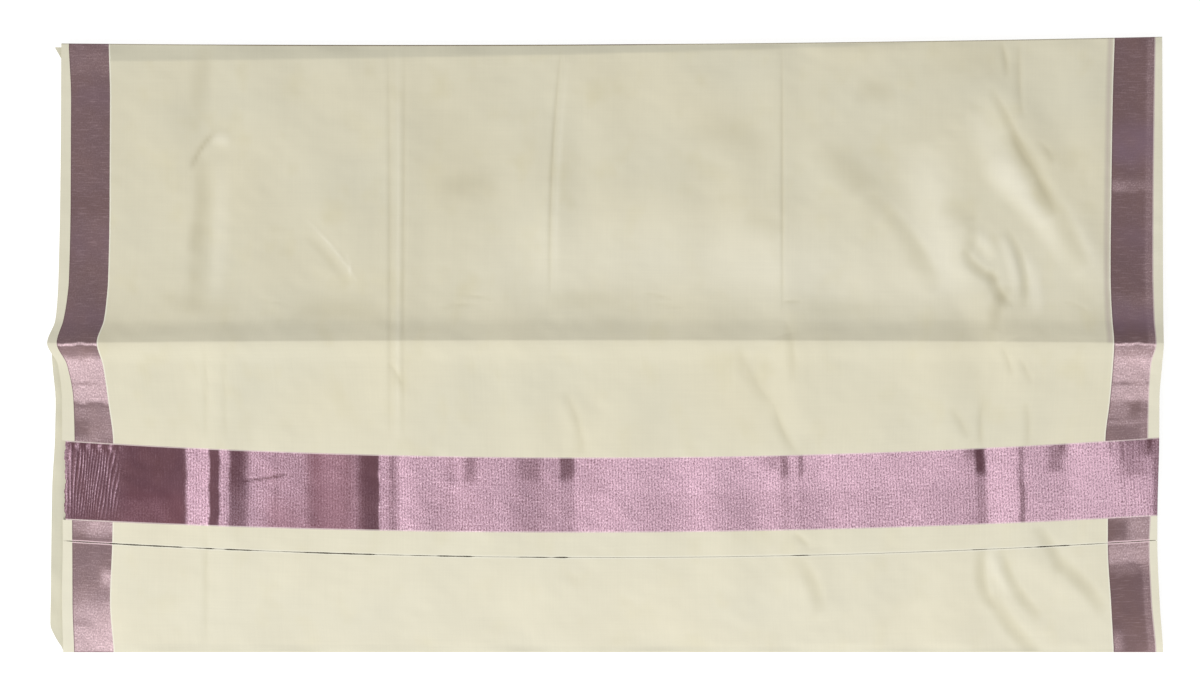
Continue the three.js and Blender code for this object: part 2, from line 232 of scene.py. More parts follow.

# The finer creases that lie on them. Each darkens the colour along it with painted shade, or lightens it with
# a painted highlight where its last value is negative.
FINE_CREASES = (
    # long pressed lines along the cloth
    Crease(-47, 314, -59, 52, -4, 4, 4, -0.7, 0.6),
    Crease(-40, 300, -52, 60, -4, 6, 6, 0.0, -0.25),
    Crease(185, 316, 185, 34, 0, 4, 4, -0.6, 0.5),
    Crease(184, 43, 205, 45, 1, 4, 4, -0.5, 0.4),
    Crease(-229, 314, -227, -99, 1, 7, 5, -0.8, 0.4),
    Crease(-219, 314, -219, -99, 1, 5, 5, 0.0, -0.3),
    Crease(-211, 314, -212, -99, -1, 5, 6, -0.6, 0.35),
    Crease(-421, 0, -421, -99, 1, 6, 5, -0.6, 0.3),
    Crease(-399, 0, -399, -99, -1, 5, 7, -0.5, 0.25),
    Crease(-421, -184, -421, -318, 1, 6, 7, -0.7, 0.3),
    # upper right
    Crease(414, 322, 421, 282, 2, 6, 8, -1.0, 0.45),
    Crease(435, 322, 438, 236, -2, 6, 9, -1.0, 0.4),
    LooseFold(404, 270, 444, 186, 2, 6, 10, -0.5, 0.5),
    LooseFold(424, 226, 470, 136, 3, 12, 20, -0.9, 0.8),
    Crease(426, 220, 474, 130, 3, 6, 9, -0.6, 0.3),
    LooseFold(452, 174, 502, 80, 4, 14, 26, -0.9, 0.75),
    LooseFold(470, 130, 520, 50, 3, 16, 24, -0.3, 0.35),
    LooseFold(404, 196, 528, 48, 4, 36, 24, 1.9, -0.75),
    LooseFold(384, 246, 424, 150, 4, 30, 24, 0.6, -0.3),
    Crease(452, 214, 470, 190, 3, 8, 8, -0.6, 0.4),
    LooseFold(386, 126, 376, 92, 4, 8, 14, -0.5, 0.35),
    LooseFold(374, 100, 414, 68, -5, 7, 12, -0.9, 0.68),
    LooseFold(404, 80, 425, 40, -4, 7, 12, -0.8, 0.66),
    LooseFold(424, 62, 408, 14, -5, 9, 13, -0.6, 0.48),
    LooseFold(384, 120, 408, 90, 3, 13, 12, 0.8, -0.35),
    LooseFold(414, 114, 430, 54, 4, 9, 9, 0.7, -0.3),
    LooseFold(420, 122, 438, 38, 9, 6, 9, -0.7, 0.5),
    LooseFold(438, 96, 452, 30, 5, 12, 12, 0.5, -0.35),
    LooseFold(222, 210, 292, 136, 6, 26, 26, -0.7, 0.4),
    LooseFold(262, 162, 322, 94, 5, 30, 18, 0.9, -0.4),
    LooseFold(276, 158, 350, 58, 7, 13, 24, -0.9, 0.6),
    LooseFold(330, 214, 360, 50, 0, 44, 44, 0.0, -0.45),
    LooseFold(262, 266, 306, 262, 4, 22, 22, -0.4, 0.4),
    LooseFold(350, 146, 390, 130, 2, 18, 18, -0.3, 0.4),
    # left half
    Crease(-409, 225, -436, 183, -3, 5, 8, -1.0, 0.85),
    LooseFold(-414, 216, -394, 213, 2, 11, 11, 0.7, -0.35),
    LooseFold(-427, 200, -433, 96, 5, 18, 12, -0.8, 0.5),
    LooseFold(-430, 130, -434, 34, 3, 22, 15, -0.4, 0.35),
    LooseFold(-404, 196, -412, 40, 3, 16, 16, 0.3, -0.25),
    LooseFold(-418, 324, -430, 228, -3, 18, 16, -0.5, 0.35),
    Crease(-316, 132, -260, 64, 3, 3, 3, 0.45, -0.45),
    LooseFold(-318, 118, -270, 60, 3, 8, 8, -0.4, 0.3),
    Crease(-272, 96, -268, 66, 1, 3, 3, 0.4, -0.4),
    # broad stretches with no rise, only painted shade, or painted highlight where the last value is negative
    LooseFold(-334, 30, -226, 26, 8, 26, 18, 0.0, 0.4),
    LooseFold(-150, 70, 240, 84, 10, 90, 60, 0.0, -0.28),
    LooseFold(100, 76, 500, 70, -10, 80, 58, 0.0, -0.30),
    LooseFold(-140, 300, -260, 120, 30, 110, 90, 0.0, 0.16),
    # shallow hollows and short creases, darker along them
    LooseFold(-182, 160, -112, 166, 6, 22, 24, -0.2, 0.3),
    LooseFold(84, 234, 176, 196, 8, 28, 32, -0.2, 0.3),
    LooseFold(146, 136, 184, 118, 4, 16, 20, -0.2, 0.25),
    LooseFold(330, 298, 440, 290, 6, 34, 36, -0.2, 0.32),
    LooseFold(-470, 52, -392, 40, -6, 18, 16, -0.1, 0.22),
    LooseFold(-70, 42, 20, 46, 5, 14, 16, -0.1, 0.22),
    LooseFold(190, 48, 300, 38, -4, 16, 16, -0.1, 0.2),
    Crease(-162, 52, -118, 47, 1, 4, 3, -0.35, 0.3),
    Crease(-176, 38, -136, 42, 1, 4, 3, -0.3, 0.25),
    Crease(40, 53, 70, 47, 1, 4, 3, -0.35, 0.3),
    Crease(52, 42, 86, 40, -1, 4, 3, -0.3, 0.25),
    Crease(-366, 46, -330, 40, 1, 4, 4, -0.3, 0.25),
    Crease(480, 44, 506, 34, 2, 4, 4, -0.3, 0.25),
    # between the ridge and the band
    Crease(-43, -50, -25, -116, 4, 9, 10, -1.0, 0.45),
    Crease(138, 0, 178, -66, -5, 12, 12, -0.9, 0.4),
    Crease(176, -62, 201, -116, -3, 9, 12, -1.0, 0.5),
    Crease(189, 26, 196, -40, 3, 7, 9, -0.8, 0.35),
    Crease(-228, -18, -214, -42, 1, 6, 6, -0.6, 0.3),
    Crease(415, -2, 426, -33, 1, 6, 8, -0.7, 0.35),
    Crease(433, -14, 446, -41, 1, 6, 8, -0.6, 0.3),
    Crease(360, -66, 380, -99, 2, 11, 10, -0.7, 0.4),
    Crease(395, -60, 395, -108, -2, 8, 8, -0.8, 0.4),
    Crease(441, -60, 441, -112, 2, 8, 8, -0.7, 0.35),
    # below the band
    Crease(197, -198, 213, -213, 1, 6, 7, -0.7, 0.35),
    LooseFold(201, -222, 227, -282, 4, 10, 14, -0.8, 0.4),
    LooseFold(398, -210, 408, -278, -8, 8, 12, -0.9, 0.55),
    LooseFold(404, -262, 454, -326, -4, 13, 12, -0.9, 0.55),
    LooseFold(402, -212, 432, -262, -4, 16, 14, 0.9, -0.35),
    LooseFold(412, -214, 457, -288, -5, 9, 12, -0.9, 0.5),
    LooseFold(452, -190, 479, -240, 3, 9, 12, -0.8, 0.45),
    LooseFold(472, -226, 524, -282, 4, 12, 13, -0.9, 0.5),
)


class Curve:
    """A smooth line through the rows of a table that never goes past them."""

    def __init__(self, at: np.ndarray, value: np.ndarray) -> None:
        """Keeps the rows in rising order, with the line's slope at each.

        Args:
            at: Where each row is.
            value: Its value.
        """
        order = np.argsort(at)
        self.at = np.asarray(at, float)[order]
        self.value = np.asarray(value, float)[order]
        step = np.diff(self.value) / np.diff(self.at)
        product = step[:-1] * step[1:]
        total = np.where(product > 0, step[:-1] + step[1:], 1.0)
        inner = np.where(product > 0, 2 * product / total, 0.0)
        self.slope = np.concatenate(([step[0]], inner, [step[-1]]))

    def __call__(self, at: np.ndarray) -> np.ndarray:
        """The line's value at each place.

        Args:
            at: The places.

        Returns:
            The values, level past the table's ends.
        """
        at = np.clip(np.asarray(at, float), self.at[0], self.at[-1])
        i = np.clip(np.searchsorted(self.at, at, side="right") - 1, 0, len(self.at) - 2)
        span = self.at[i + 1] - self.at[i]
        t = (at - self.at[i]) / span
        rise = (2 * t**3 - 3 * t**2 + 1) * self.value[i] + (3 * t**2 - 2 * t**3) * self.value[i + 1]
        return rise + span * ((t**3 - 2 * t**2 + t) * self.slope[i] + (t**3 - t**2) * self.slope[i + 1])


class Ripple:
    """A gentle random waviness: many small waves that run every way."""

    def __init__(self, seed: int, shortest: float, longest: float, height: float, waves: int = 28) -> None:
        """Draws the waves.

        Args:
            seed: Seed of the draw.
            shortest: Shortest wave, in millimetres.
            longest: Longest wave, in millimetres.
            height: Usual height of the whole, in millimetres.
            waves: How many waves there are.
        """
        draw = np.random.default_rng(seed)
        turn = draw.uniform(0, 2 * math.pi, waves)
        number = 2 * math.pi / draw.uniform(shortest, longest, waves)
        phase = draw.uniform(0, 2 * math.pi, waves)
        self.waves = np.stack([np.cos(turn) * number, np.sin(turn) * number, phase])
        self.size = height * math.sqrt(2 / waves)

    def __call__(self, x: np.ndarray, y: np.ndarray) -> np.ndarray:
        """The height at each place.

        Args:
            x: X of the places.
            y: Y of the places.

        Returns:
            The heights, of the same shape as the places.
        """
        total = np.zeros(np.broadcast(x, y).shape)
        for a, b, phase in self.waves.T:
            total += np.sin(a * x + b * y + phase)
        return total * self.size


@dataclass(frozen=True)
class Wave:
    """One sine wave over the cloth, its two lengths those of one radian."""

    height: float
    first: float
    second: float
    phase: float = 0.0


def swaying(waves: tuple[Wave, ...], u: np.ndarray, v: np.ndarray) -> np.ndarray:
    """Adds up waves.

    Args:
        waves: The waves.
        u: Place of each point that their first length goes with.
        v: Place of each point that their second length goes with.

    Returns:
        The sum at each point.
    """
    return sum(w.height * np.sin(u / w.first + v / w.second + w.phase) for w in waves)


# How the crinkles of the band wander, by place across and along.
CRINKLE_SWAY = (Wave(1.6, 7.3, -60.0), Wave(0.5, 3.1, 17.0))
# How the band's frayed left end is jagged, by place along alone.
FRAY_JAG = (Wave(1.0, math.inf, 1.1), Wave(1.0, math.inf, 2.9, 1.0), Wave(1.0, math.inf, 7.3, 2.0))
# How the ends of the patches wander, by place from the zone's own edge and along the patches' axis.
BORDER_WANDER = (Wave(0.7, 5.1, 9.0), Wave(0.4, 2.2, -4.0))
BAND_WANDER = (Wave(0.5, 7.0, 19.0), Wave(0.3, 2.9, math.inf))


def graded(start: float, end: float, parts: int,
           dense: tuple[tuple[float, float, float], ...] = ()) -> np.ndarray:
    """Places from start to end, closer together round the dense places.

    Args:
        start: First place.
        end: Last place.
        parts: Number of steps between them.
        dense: (place, reach, how many times closer) for each dense place.

    Returns:
        parts + 1 places.
    """
    fine = np.linspace(start, end, GRADED_SAMPLES)
    weight = np.ones_like(fine)
    for place, reach, gain in dense:
        weight += gain * np.exp(-(((fine - place) / reach) ** 2))
    total = np.concatenate(([0.0], np.cumsum((weight[1:] + weight[:-1]) / 2)))
    return np.interp(np.linspace(0, total[-1], parts + 1), total, fine)


def soft_step(value: np.ndarray, edge: float, softness: float) -> np.ndarray:
    """0 below the edge and 1 above it, over about twice the softness."""
    return 0.5 + 0.5 * np.tanh((value - edge) / softness)


@dataclass
class ClothLie:
    """How the cloth lies in the stack: where a place of the cloth is, and how high."""

    sections: tuple[Section, ...] = SECTIONS
    ridge_left: float = 1.15
    ridge_middle: float = 0.92
    ridge_right: float = 1.0

    def __post_init__(self) -> None:
        """Makes a smooth line of each column of the sections."""
        at = [s.at for s in self.sections]
        names = [column.name for column in fields(Section) if column.name != "at"]
        self.curves = {n: Curve(at, [getattr(s, n) for s in self.sections]) for n in names}

    def lines(self, at: np.ndarray) -> np.ndarray:
        """X of the weave's six lines on each weft line, a row for each."""
        names = ("edge_left", "outer_left", "inner_left", "inner_right", "outer_right", "edge_right")
        return np.stack([self.curves[n](at) for n in names], axis=-1)

    def place(self, across: np.ndarray, at: np.ndarray, shift: np.ndarray | float = 0.0) -> np.ndarray:
        """Where the surface of the stack is.

        Args:
            across: Places across the cloth, a column of the grid for each.
            at: Weft lines, a row of the grid for each.
            shift: How far the whole cloth lies to the right on each weft line.

        Returns:
            A grid of points, rows by columns by three.
        """
        lines = self.lines(at)
        x = np.stack([np.interp(across, WEAVE_LINES, row) for row in lines])
        u = (2 * x - lines[:, :1] - lines[:, -1:]) / (lines[:, -1:] - lines[:, :1])
        column = {n: c(at)[:, None] for n, c in self.curves.items()}
        y = at[:, None] + column["skew"] * (u + 1) / 2 - column["bow"] * (1 - u * u)
        half = (self.ridge_right - self.ridge_left) / 2
        bend = (self.ridge_left + self.ridge_right) / 2 - self.ridge_middle
        z = STACK + column["height"] * (self.ridge_middle + half * u + bend * u * u)
        return np.stack([x + np.reshape(shift, (-1, 1)), y, z], axis=-1)


def round_grid(rows: int, columns: int) -> tuple[np.ndarray, np.ndarray]:
    """The places round a grid, anticlockwise as seen from above, rows running towards -Y.

    Args:
        rows: Rows of the grid.
        columns: Columns of the grid.

    Returns:
        Their row numbers and their column numbers.
    """
    bottom, right = rows - 1, columns - 1
    r = [np.full(right, bottom), np.arange(bottom, 0, -1), np.zeros(right, int), np.arange(bottom)]
    c = [np.arange(right), np.full(bottom, right), np.arange(right, 0, -1), np.zeros(bottom, int)]
    return np.concatenate(r), np.concatenate(c)


class ShellMesh:
    """Closed shells of cloth, gathered into one mesh."""

    def __init__(self) -> None:
        """Starts with no shell."""
        self.points: list[np.ndarray] = []
        self.weave: list[np.ndarray] = []
        self.tones: list[np.ndarray] = []
        self.painted_lights_and_tints: list[np.ndarray] = []
        self.faces: list[np.ndarray] = []
        self.count = 0

    def _add(self, points: np.ndarray, weave: np.ndarray, tone: np.ndarray, mark: np.ndarray) -> np.ndarray:
        """Adds points.

        Args:
            points: Grid of points.
            weave: Their places in the weave.
            tone: Their tones.
            mark: Their painted shade and highlight, or their tint.

        Returns:
            A grid of their numbers.
        """
        first = self.count
        self.points.append(points.reshape(-1, 3))
        self.weave.append(weave.reshape(-1, 2))
        self.tones.append(tone.reshape(-1))
        self.painted_lights_and_tints.append(mark.reshape(-1))
        self.count += tone.size
        return np.arange(first, self.count).reshape(tone.shape)

    def add(self, outer: np.ndarray, inner: np.ndarray, weave: np.ndarray, tone: np.ndarray,
            wall: np.ndarray, mark: np.ndarray | None = None, stride: int = 1) -> None:
        """Adds one closed shell.

        Args:
            outer: Grid of points of the outer face, rows towards -Y and columns towards +X.
            inner: Grid of points of the inner face.
            weave: Place in the weave of each point, across and along, in millimetres.
            tone: Tone of each point, from 0 to 1.
            wall: Grid of vectors from the outer face to the inner one at the shell's rim.
            mark: Painted shade of each point, painted highlight where negative, or its tint on zari; None for
                not at all.
            stride: The inner face uses only every so many rows and columns.
        """
        mark = np.zeros(tone.shape) if mark is None else mark
        above = self._add(outer, weave, tone, mark)
        r, c = round_grid(*tone.shape)
        rim = self._add((outer + wall)[r, c], weave[r, c], tone[r, c], mark[r, c])
        self._grid(above)
        self.faces.append(np.stack([above[r, c], rim, np.roll(rim, -1), np.roll(above[r, c], -1)], axis=-1))

        coarse = [np.arange(stride, n - 1, stride) for n in tone.shape]
        pick = np.ix_(*coarse)
        below = self._add(inner[pick], weave[pick], tone[pick], mark[pick])
        self._grid(below[:, ::-1])
        near = [np.clip(np.rint(k / stride).astype(int) - 1, 0, len(n) - 1) for k, n in zip((r, c), coarse)]
        ring = below[near[0], near[1]]
        after, rim_after = np.roll(ring, -1), np.roll(rim, -1)
        self.faces.append(np.stack([ring, rim_after, rim], axis=-1))
        turns = after != ring
        self.faces.append(np.stack([ring, after, rim_after], axis=-1)[turns])

    def _grid(self, number: np.ndarray) -> None:
        """Adds the faces of a grid of point numbers."""
        corners = [number[:-1, :-1], number[1:, :-1], number[1:, 1:], number[:-1, 1:]]
        self.faces.append(np.stack(corners, axis=-1).reshape(-1, 4))

    def build(self, name: str, material: bpy.types.Material) -> bpy.types.Object:
        """Makes the object.

        Args:
            name: Name of the piece.
            material: Its finish.

        Returns:
            The new object, in metres, at the origin.
        """
        points = np.concatenate(self.points) * MM
        faces = [face for group in self.faces for face in group.tolist()]
        mesh = bpy.data.meshes.new(name)
        mesh.from_pydata(points.tolist(), [], faces)
        corner = np.empty(len(mesh.loops), int)
        mesh.loops.foreach_get("vertex_index", corner)
        layer = mesh.uv_layers.new(name="weave")
        layer.data.foreach_set("uv", (np.concatenate(self.weave) * MM)[corner].ravel())
        for key, values in (("tone", self.tones), ("mark", self.painted_lights_and_tints)):
            mesh.attributes.new(key, "FLOAT", "POINT").data.foreach_set("value", np.concatenate(values))
        mesh.polygons.foreach_set("use_smooth", np.ones(len(mesh.polygons), bool))
        mesh.set_sharp_from_angle(angle=SHARP_ANGLE)
        mesh.materials.append(material)
        mesh.update()
        piece = bpy.data.objects.new(name, mesh)
        bpy.context.scene.collection.objects.link(piece)
        return piece


def facing(points: np.ndarray) -> np.ndarray:
    """The direction that a grid of points faces, at each of them.

    Args:
        points: The grid of points.

    Returns:
        A grid of directions of length 1.
    """
    down, right = np.gradient(points, axis=0), np.gradient(points, axis=1)
    normal = np.cross(down, right)
    return normal / np.linalg.norm(normal, axis=-1, keepdims=True)


class NodeBench:
    """Short calls for building the nodes of one material."""

    def __init__(self, name: str) -> None:
        """Makes an empty material with an output.

        Args:
            name: Name of the material.
        """
        self.material = bpy.data.materials.new(name)
        self.material.use_nodes = True
        self.nodes = self.material.node_tree.nodes
        self.links = self.material.node_tree.links
        self.nodes.clear()
        self.output = self.nodes.new("ShaderNodeOutputMaterial")

    def put(self, value: object, socket: bpy.types.NodeSocket) -> None:
        """Links a socket, or sets a plain value, on an input.

        Args:
            value: The socket or value.
            socket: The input.
        """
        if isinstance(value, bpy.types.NodeSocket):
            self.links.new(value, socket)
        else:
            socket.default_value = value

    def math(self, operation: str, *values: object, clamp: bool = False) -> bpy.types.NodeSocket:
        """A sum, product or other operation on numbers.

        Args:
            operation: The node's operation.
            values: Its inputs, sockets or numbers.
            clamp: Whether the result is kept from 0 to 1.

        Returns:
            The result.
        """
        node = self.nodes.new("ShaderNodeMath")
        node.operation = operation
        node.use_clamp = clamp
        for value, socket in zip(values, node.inputs):
            self.put(value, socket)
        return node.outputs[0]

    def mix(self, share: object, first: object, second: object, way: str = "MIX") -> bpy.types.NodeSocket:
        """A mix of two colours.

        Args:
            share: Share of the second one.
            first: First colour.
            second: Second colour.
            way: How they are blended.

        Returns:
            The mixed colour.
        """
        node = self.nodes.new("ShaderNodeMix")
        node.data_type = "RGBA"
        node.blend_type = way
        self.put(share, node.inputs["Factor"])
        self.put(first, node.inputs[6])
        self.put(second, node.inputs[7])
        return node.outputs[2]

    def weave(self) -> tuple[bpy.types.NodeSocket, bpy.types.NodeSocket]:
        """Places across and along the cloth, in millimetres.

        Returns:
            The place across and the place along.
        """
        uv = self.nodes.new("ShaderNodeUVMap")
        uv.uv_map = "weave"
        parts = self.nodes.new("ShaderNodeSeparateXYZ")
        self.links.new(uv.outputs[0], parts.inputs[0])
        return tuple(self.math("DIVIDE", parts.outputs[k], MM) for k in range(2))

    def held(self, name: str) -> bpy.types.NodeSocket:
        """A value that each point of a piece holds: its tone, or its painted shade and highlight on cotton
        and its tint on zari.

        Args:
            name: Name of the value.

        Returns:
            The value.
        """
        node = self.nodes.new("ShaderNodeAttribute")
        node.attribute_name = name
        return node.outputs["Fac"]

    def noise(self, across: object, along: object, wide: float, long: float, detail: float = 2.0,
              rough: float = 0.5) -> bpy.types.NodeSocket:
        """Noise in grains of a stated size, from about -1 to 1.

        Args:
            across: Place across the cloth.
            along: Place along the cloth.
            wide: Size of a grain across, in millimetres.
            long: Its size along.
            detail: Finer layers of noise.
            rough: Strength of each finer layer.

        Returns:
            The noise.
        """
        place = self.nodes.new("ShaderNodeCombineXYZ")
        self.put(self.math("DIVIDE", across, wide), place.inputs[0])
        self.put(self.math("DIVIDE", along, long), place.inputs[1])
        node = self.nodes.new("ShaderNodeTexNoise")
        node.inputs["Scale"].default_value = 1.0
        node.inputs["Detail"].default_value = detail
        node.inputs["Roughness"].default_value = rough
        self.links.new(place.outputs[0], node.inputs["Vector"])
        return self.math("MULTIPLY_ADD", node.outputs["Fac"], 4.0, -2.0)

    def line(self, place: object, centre: float, reach: float) -> bpy.types.NodeSocket:
        """1 on a line and 0 past its reach."""
        away = self.math("ABSOLUTE", self.math("SUBTRACT", place, centre))
        return self.math("SUBTRACT", 1.0, self.math("DIVIDE", away, reach), clamp=True)

    def halo(self, along: object) -> bpy.types.NodeSocket:
        """Share of the painted highlight on either side of the open cut line."""
        sides = [self.line(along, CUT_LINE + away, HALO_REACH) for away in (-HALO_AWAY, HALO_AWAY)]
        return self.math("MULTIPLY", self.math("ADD", *sides), HALO_SHARE)

    def threads(self, place: object, pitch: float) -> bpy.types.NodeSocket:
        """The round backs of threads that lie side by side, from 0 to 1."""
        wave = self.math("SINE", self.math("MULTIPLY", place, math.pi / pitch))
        return self.math("ABSOLUTE", wave)

    def bump(self, height: object, depth: float, strength: float = 1.0) -> bpy.types.NodeSocket:
        """A surface that is raised by a height from 0 to 1.

        Args:
            height: The height.
            depth: What a height of 1 stands for, in millimetres.
            strength: Strength of the effect.

        Returns:
            The normal.
        """
        node = self.nodes.new("ShaderNodeBump")
        node.inputs["Strength"].default_value = strength
        node.inputs["Distance"].default_value = depth * MM
        self.put(height, node.inputs["Height"])
        return node.outputs[0]

    def surface(self, **inputs: object) -> bpy.types.ShaderNodeBsdfPrincipled:
        """The shader, with its inputs named in words and underscores.

        Args:
            inputs: Values or sockets of its inputs.

        Returns:
            The shader node.
        """
        shader = self.nodes.new("ShaderNodeBsdfPrincipled")
        for name, value in inputs.items():
            self.put(value, shader.inputs[name.replace("_", " ").title().replace("Ior", "IOR")])
        self.links.new(shader.outputs[0], self.output.inputs["Surface"])
        return shader


@dataclass(frozen=True)
class CottonFinish:
    """Plain woven unbleached cotton, darker where lower layers show through, with painted shade along its
    creases and painted highlight on their lit sides.

    The size of a noise is that of its grain, across the cloth and along it, in millimetres. Finishes of
    the top stretch have a top zone: the stained ground, the hem, the halo of painted highlight along the
    cut line and a painted shadow along the edge of the upper fold.
    """

    name: str
    colour: tuple[float, float, float, float] = (0.60, 0.558, 0.415, 1.0)
    cool: tuple[float, float, float, float] = (0.575, 0.545, 0.42, 1.0)
    below: tuple[float, float, float, float] = (0.50, 0.475, 0.365, 1.0)
    painted_crease_shade: tuple[float, float, float, float] = (0.45, 0.41, 0.28, 1.0)
    mauve: tuple[float, float, float, float] = (0.46, 0.40, 0.34, 1.0)
    painted_highlight: tuple[float, float, float, float] = (0.76, 0.725, 0.60, 1.0)
    stain: tuple[float, float, float, float] = (0.555, 0.51, 0.345, 1.0)
    gap: tuple[float, float, float, float] = (0.12, 0.068, 0.022, 1.0)
    pale: tuple[float, float, float, float] = (0.72, 0.70, 0.60, 1.0)
    roughness: float = 0.88
    sheen: float = 0.15
    sheen_roughness: float = 0.5
    thread_pitch: float = 0.55
    thread_depth: float = 0.035
    slub: float = 0.014
    slub_size: tuple[float, float] = (1.6, 70.0)
    slub_relief: float = 0.2
    cloudiness: float = 0.028
    cloud_size: tuple[float, float] = (55.0, 70.0)
    drift_size: tuple[float, float] = (150.0, 110.0)
    stain_size: tuple[float, float] = (34.0, 42.0)
    stain_more: float = 0.55
    stain_least: float = -0.12
    wobble: float = 0.35
    wobble_length: float = 6.0
    edge_lines: tuple[tuple[float, float], ...] = ()
    edge_share: float = 0.9
    top_zone: bool = False
    # where a painted shadow is laid on this length, under the open cut line of the length above
    gap_line: float | None = None
    gap_reach: float = 4.0
    gap_from: float = OUTER_LEFT + 6.0
    hem_line: float = INNER_RIGHT - 4.5
    hem_reach: float = 4.0
    hem_share: float = 0.8
    # where the painted shadow along the edge of the upper fold begins, and how it spreads across
    turned_from: float = UPPER_FOLD + FOLD_ROOM - 1.5
    turned_middle: float = 400.0
    turned_reach: float = 260.0
    turned_gain: float = 4.0
    turned_more: float = 0.65
    turned_least: float = 0.3

    def material(self) -> bpy.types.Material:
        """Makes the material.

        Returns:
            The material.
        """
        bench = NodeBench(self.name)
        across, along = bench.weave()
        warp_slub = bench.noise(across, along, *self.slub_size)
        weft_slub = bench.noise(across, along, *reversed(self.slub_size))
        cloud = bench.noise(across, along, *self.cloud_size, detail=3.0)
        drift = bench.noise(across, along, *self.drift_size, detail=1.0)
        uneven = bench.math("MULTIPLY", bench.math("ADD", warp_slub, weft_slub), self.slub)
        uneven = bench.math("MULTIPLY_ADD", cloud, self.cloudiness, uneven)
        hue = bench.math("MULTIPLY_ADD", drift, 0.5, 0.5, clamp=True)
        colour = bench.mix(hue, self.colour, self.cool)
        if self.top_zone:
            warm = bench.noise(across, along, *self.stain_size)
            warm = bench.math("MULTIPLY_ADD", warm, self.stain_more, self.stain_least, clamp=True)
            colour = bench.mix(warm, colour, self.stain)
        # painted shade where this value is positive, painted highlight where it is negative, on the creases
        # and below the band
        mark = bench.held("mark")
        colour = bench.mix(bench.held("tone"), colour, self.below)
        colour = bench.mix(bench.math("MAXIMUM", mark, 0.0), colour, self.painted_crease_shade)
        colour = bench.mix(bench.math("MAXIMUM", bench.math("MULTIPLY", mark, -1.0), 0.0), colour, self.painted_highlight)
        # painted shadow where this length shows through the open cut line
        if self.gap_line is not None:
            shaded_gap = bench.math("MULTIPLY", bench.line(along, self.gap_line, self.gap_reach),
                                    bench.math("GREATER_THAN", across, self.gap_from))
            colour = bench.mix(shaded_gap, colour, self.gap)
        wavy = bench.noise(0.0, along, 1.0, self.wobble_length)
        wavy = bench.math("MULTIPLY_ADD", wavy, self.wobble, across)
        for place, reach in self.edge_lines:
            share = bench.math("MULTIPLY", bench.line(wavy, place, reach), self.edge_share)
            colour = bench.mix(share, colour, self.pale)
        if self.top_zone:
            colour = self.dressed(bench, across, along, colour)
        shaded = bench.nodes.new("ShaderNodeVectorMath")
        shaded.operation = "SCALE"
        bench.links.new(colour, shaded.inputs[0])
        bench.links.new(bench.math("ADD", 1.0, uneven), shaded.inputs["Scale"])
        weave = bench.math("MULTIPLY", bench.threads(across, self.thread_pitch),
                           bench.threads(along, self.thread_pitch))
        for thick in (warp_slub, weft_slub):
            weave = bench.math("MULTIPLY_ADD", thick, self.slub_relief, weave)
        bench.surface(
            base_color=shaded.outputs[0],
            roughness=self.roughness,
            sheen_weight=self.sheen,
            sheen_roughness=self.sheen_roughness,
            normal=bench.bump(weave, self.thread_depth),
        )
        return bench.material

    def dressed(self, bench: NodeBench, across: bpy.types.NodeSocket, along: bpy.types.NodeSocket,
                colour: bpy.types.NodeSocket) -> bpy.types.NodeSocket:
        """Lays the hem, the painted highlight beside the cut line and the painted shadow along the edge of
        the upper fold over the cotton.

        Args:
            bench: Where the nodes are built.
            across: Place across the cloth.
            along: Place along the cloth.
            colour: Colour of the cotton.

        Returns:
            The colour with all three.
        """
        hem = bench.math("MULTIPLY", bench.line(across, self.hem_line, self.hem_reach), self.hem_share)
        hem = bench.math("MULTIPLY", hem, bench.math("GREATER_THAN", along, RIDGE))
        colour = bench.mix(hem, colour, self.mauve)
        # painted highlight on both sides of the open cut line
        colour = bench.mix(bench.halo(along), colour, self.pale)
        # painted shadow along the edge of the upper fold, strongest over its left half
        turned = bench.math("SUBTRACT", along, self.turned_from, clamp=True)
        stretch = bench.line(across, self.turned_middle, self.turned_reach)
        stretch = bench.math("MULTIPLY", stretch, self.turned_gain, clamp=True)
        stretch = bench.math("MULTIPLY_ADD", stretch, self.turned_more, self.turned_least)
        return bench.mix(bench.math("MULTIPLY", turned, stretch), colour, self.gap)


class Thread(Enum):
    """Which way the metal thread of a zari weave runs."""

    WARP = 0.0
    WEFT = 0.25


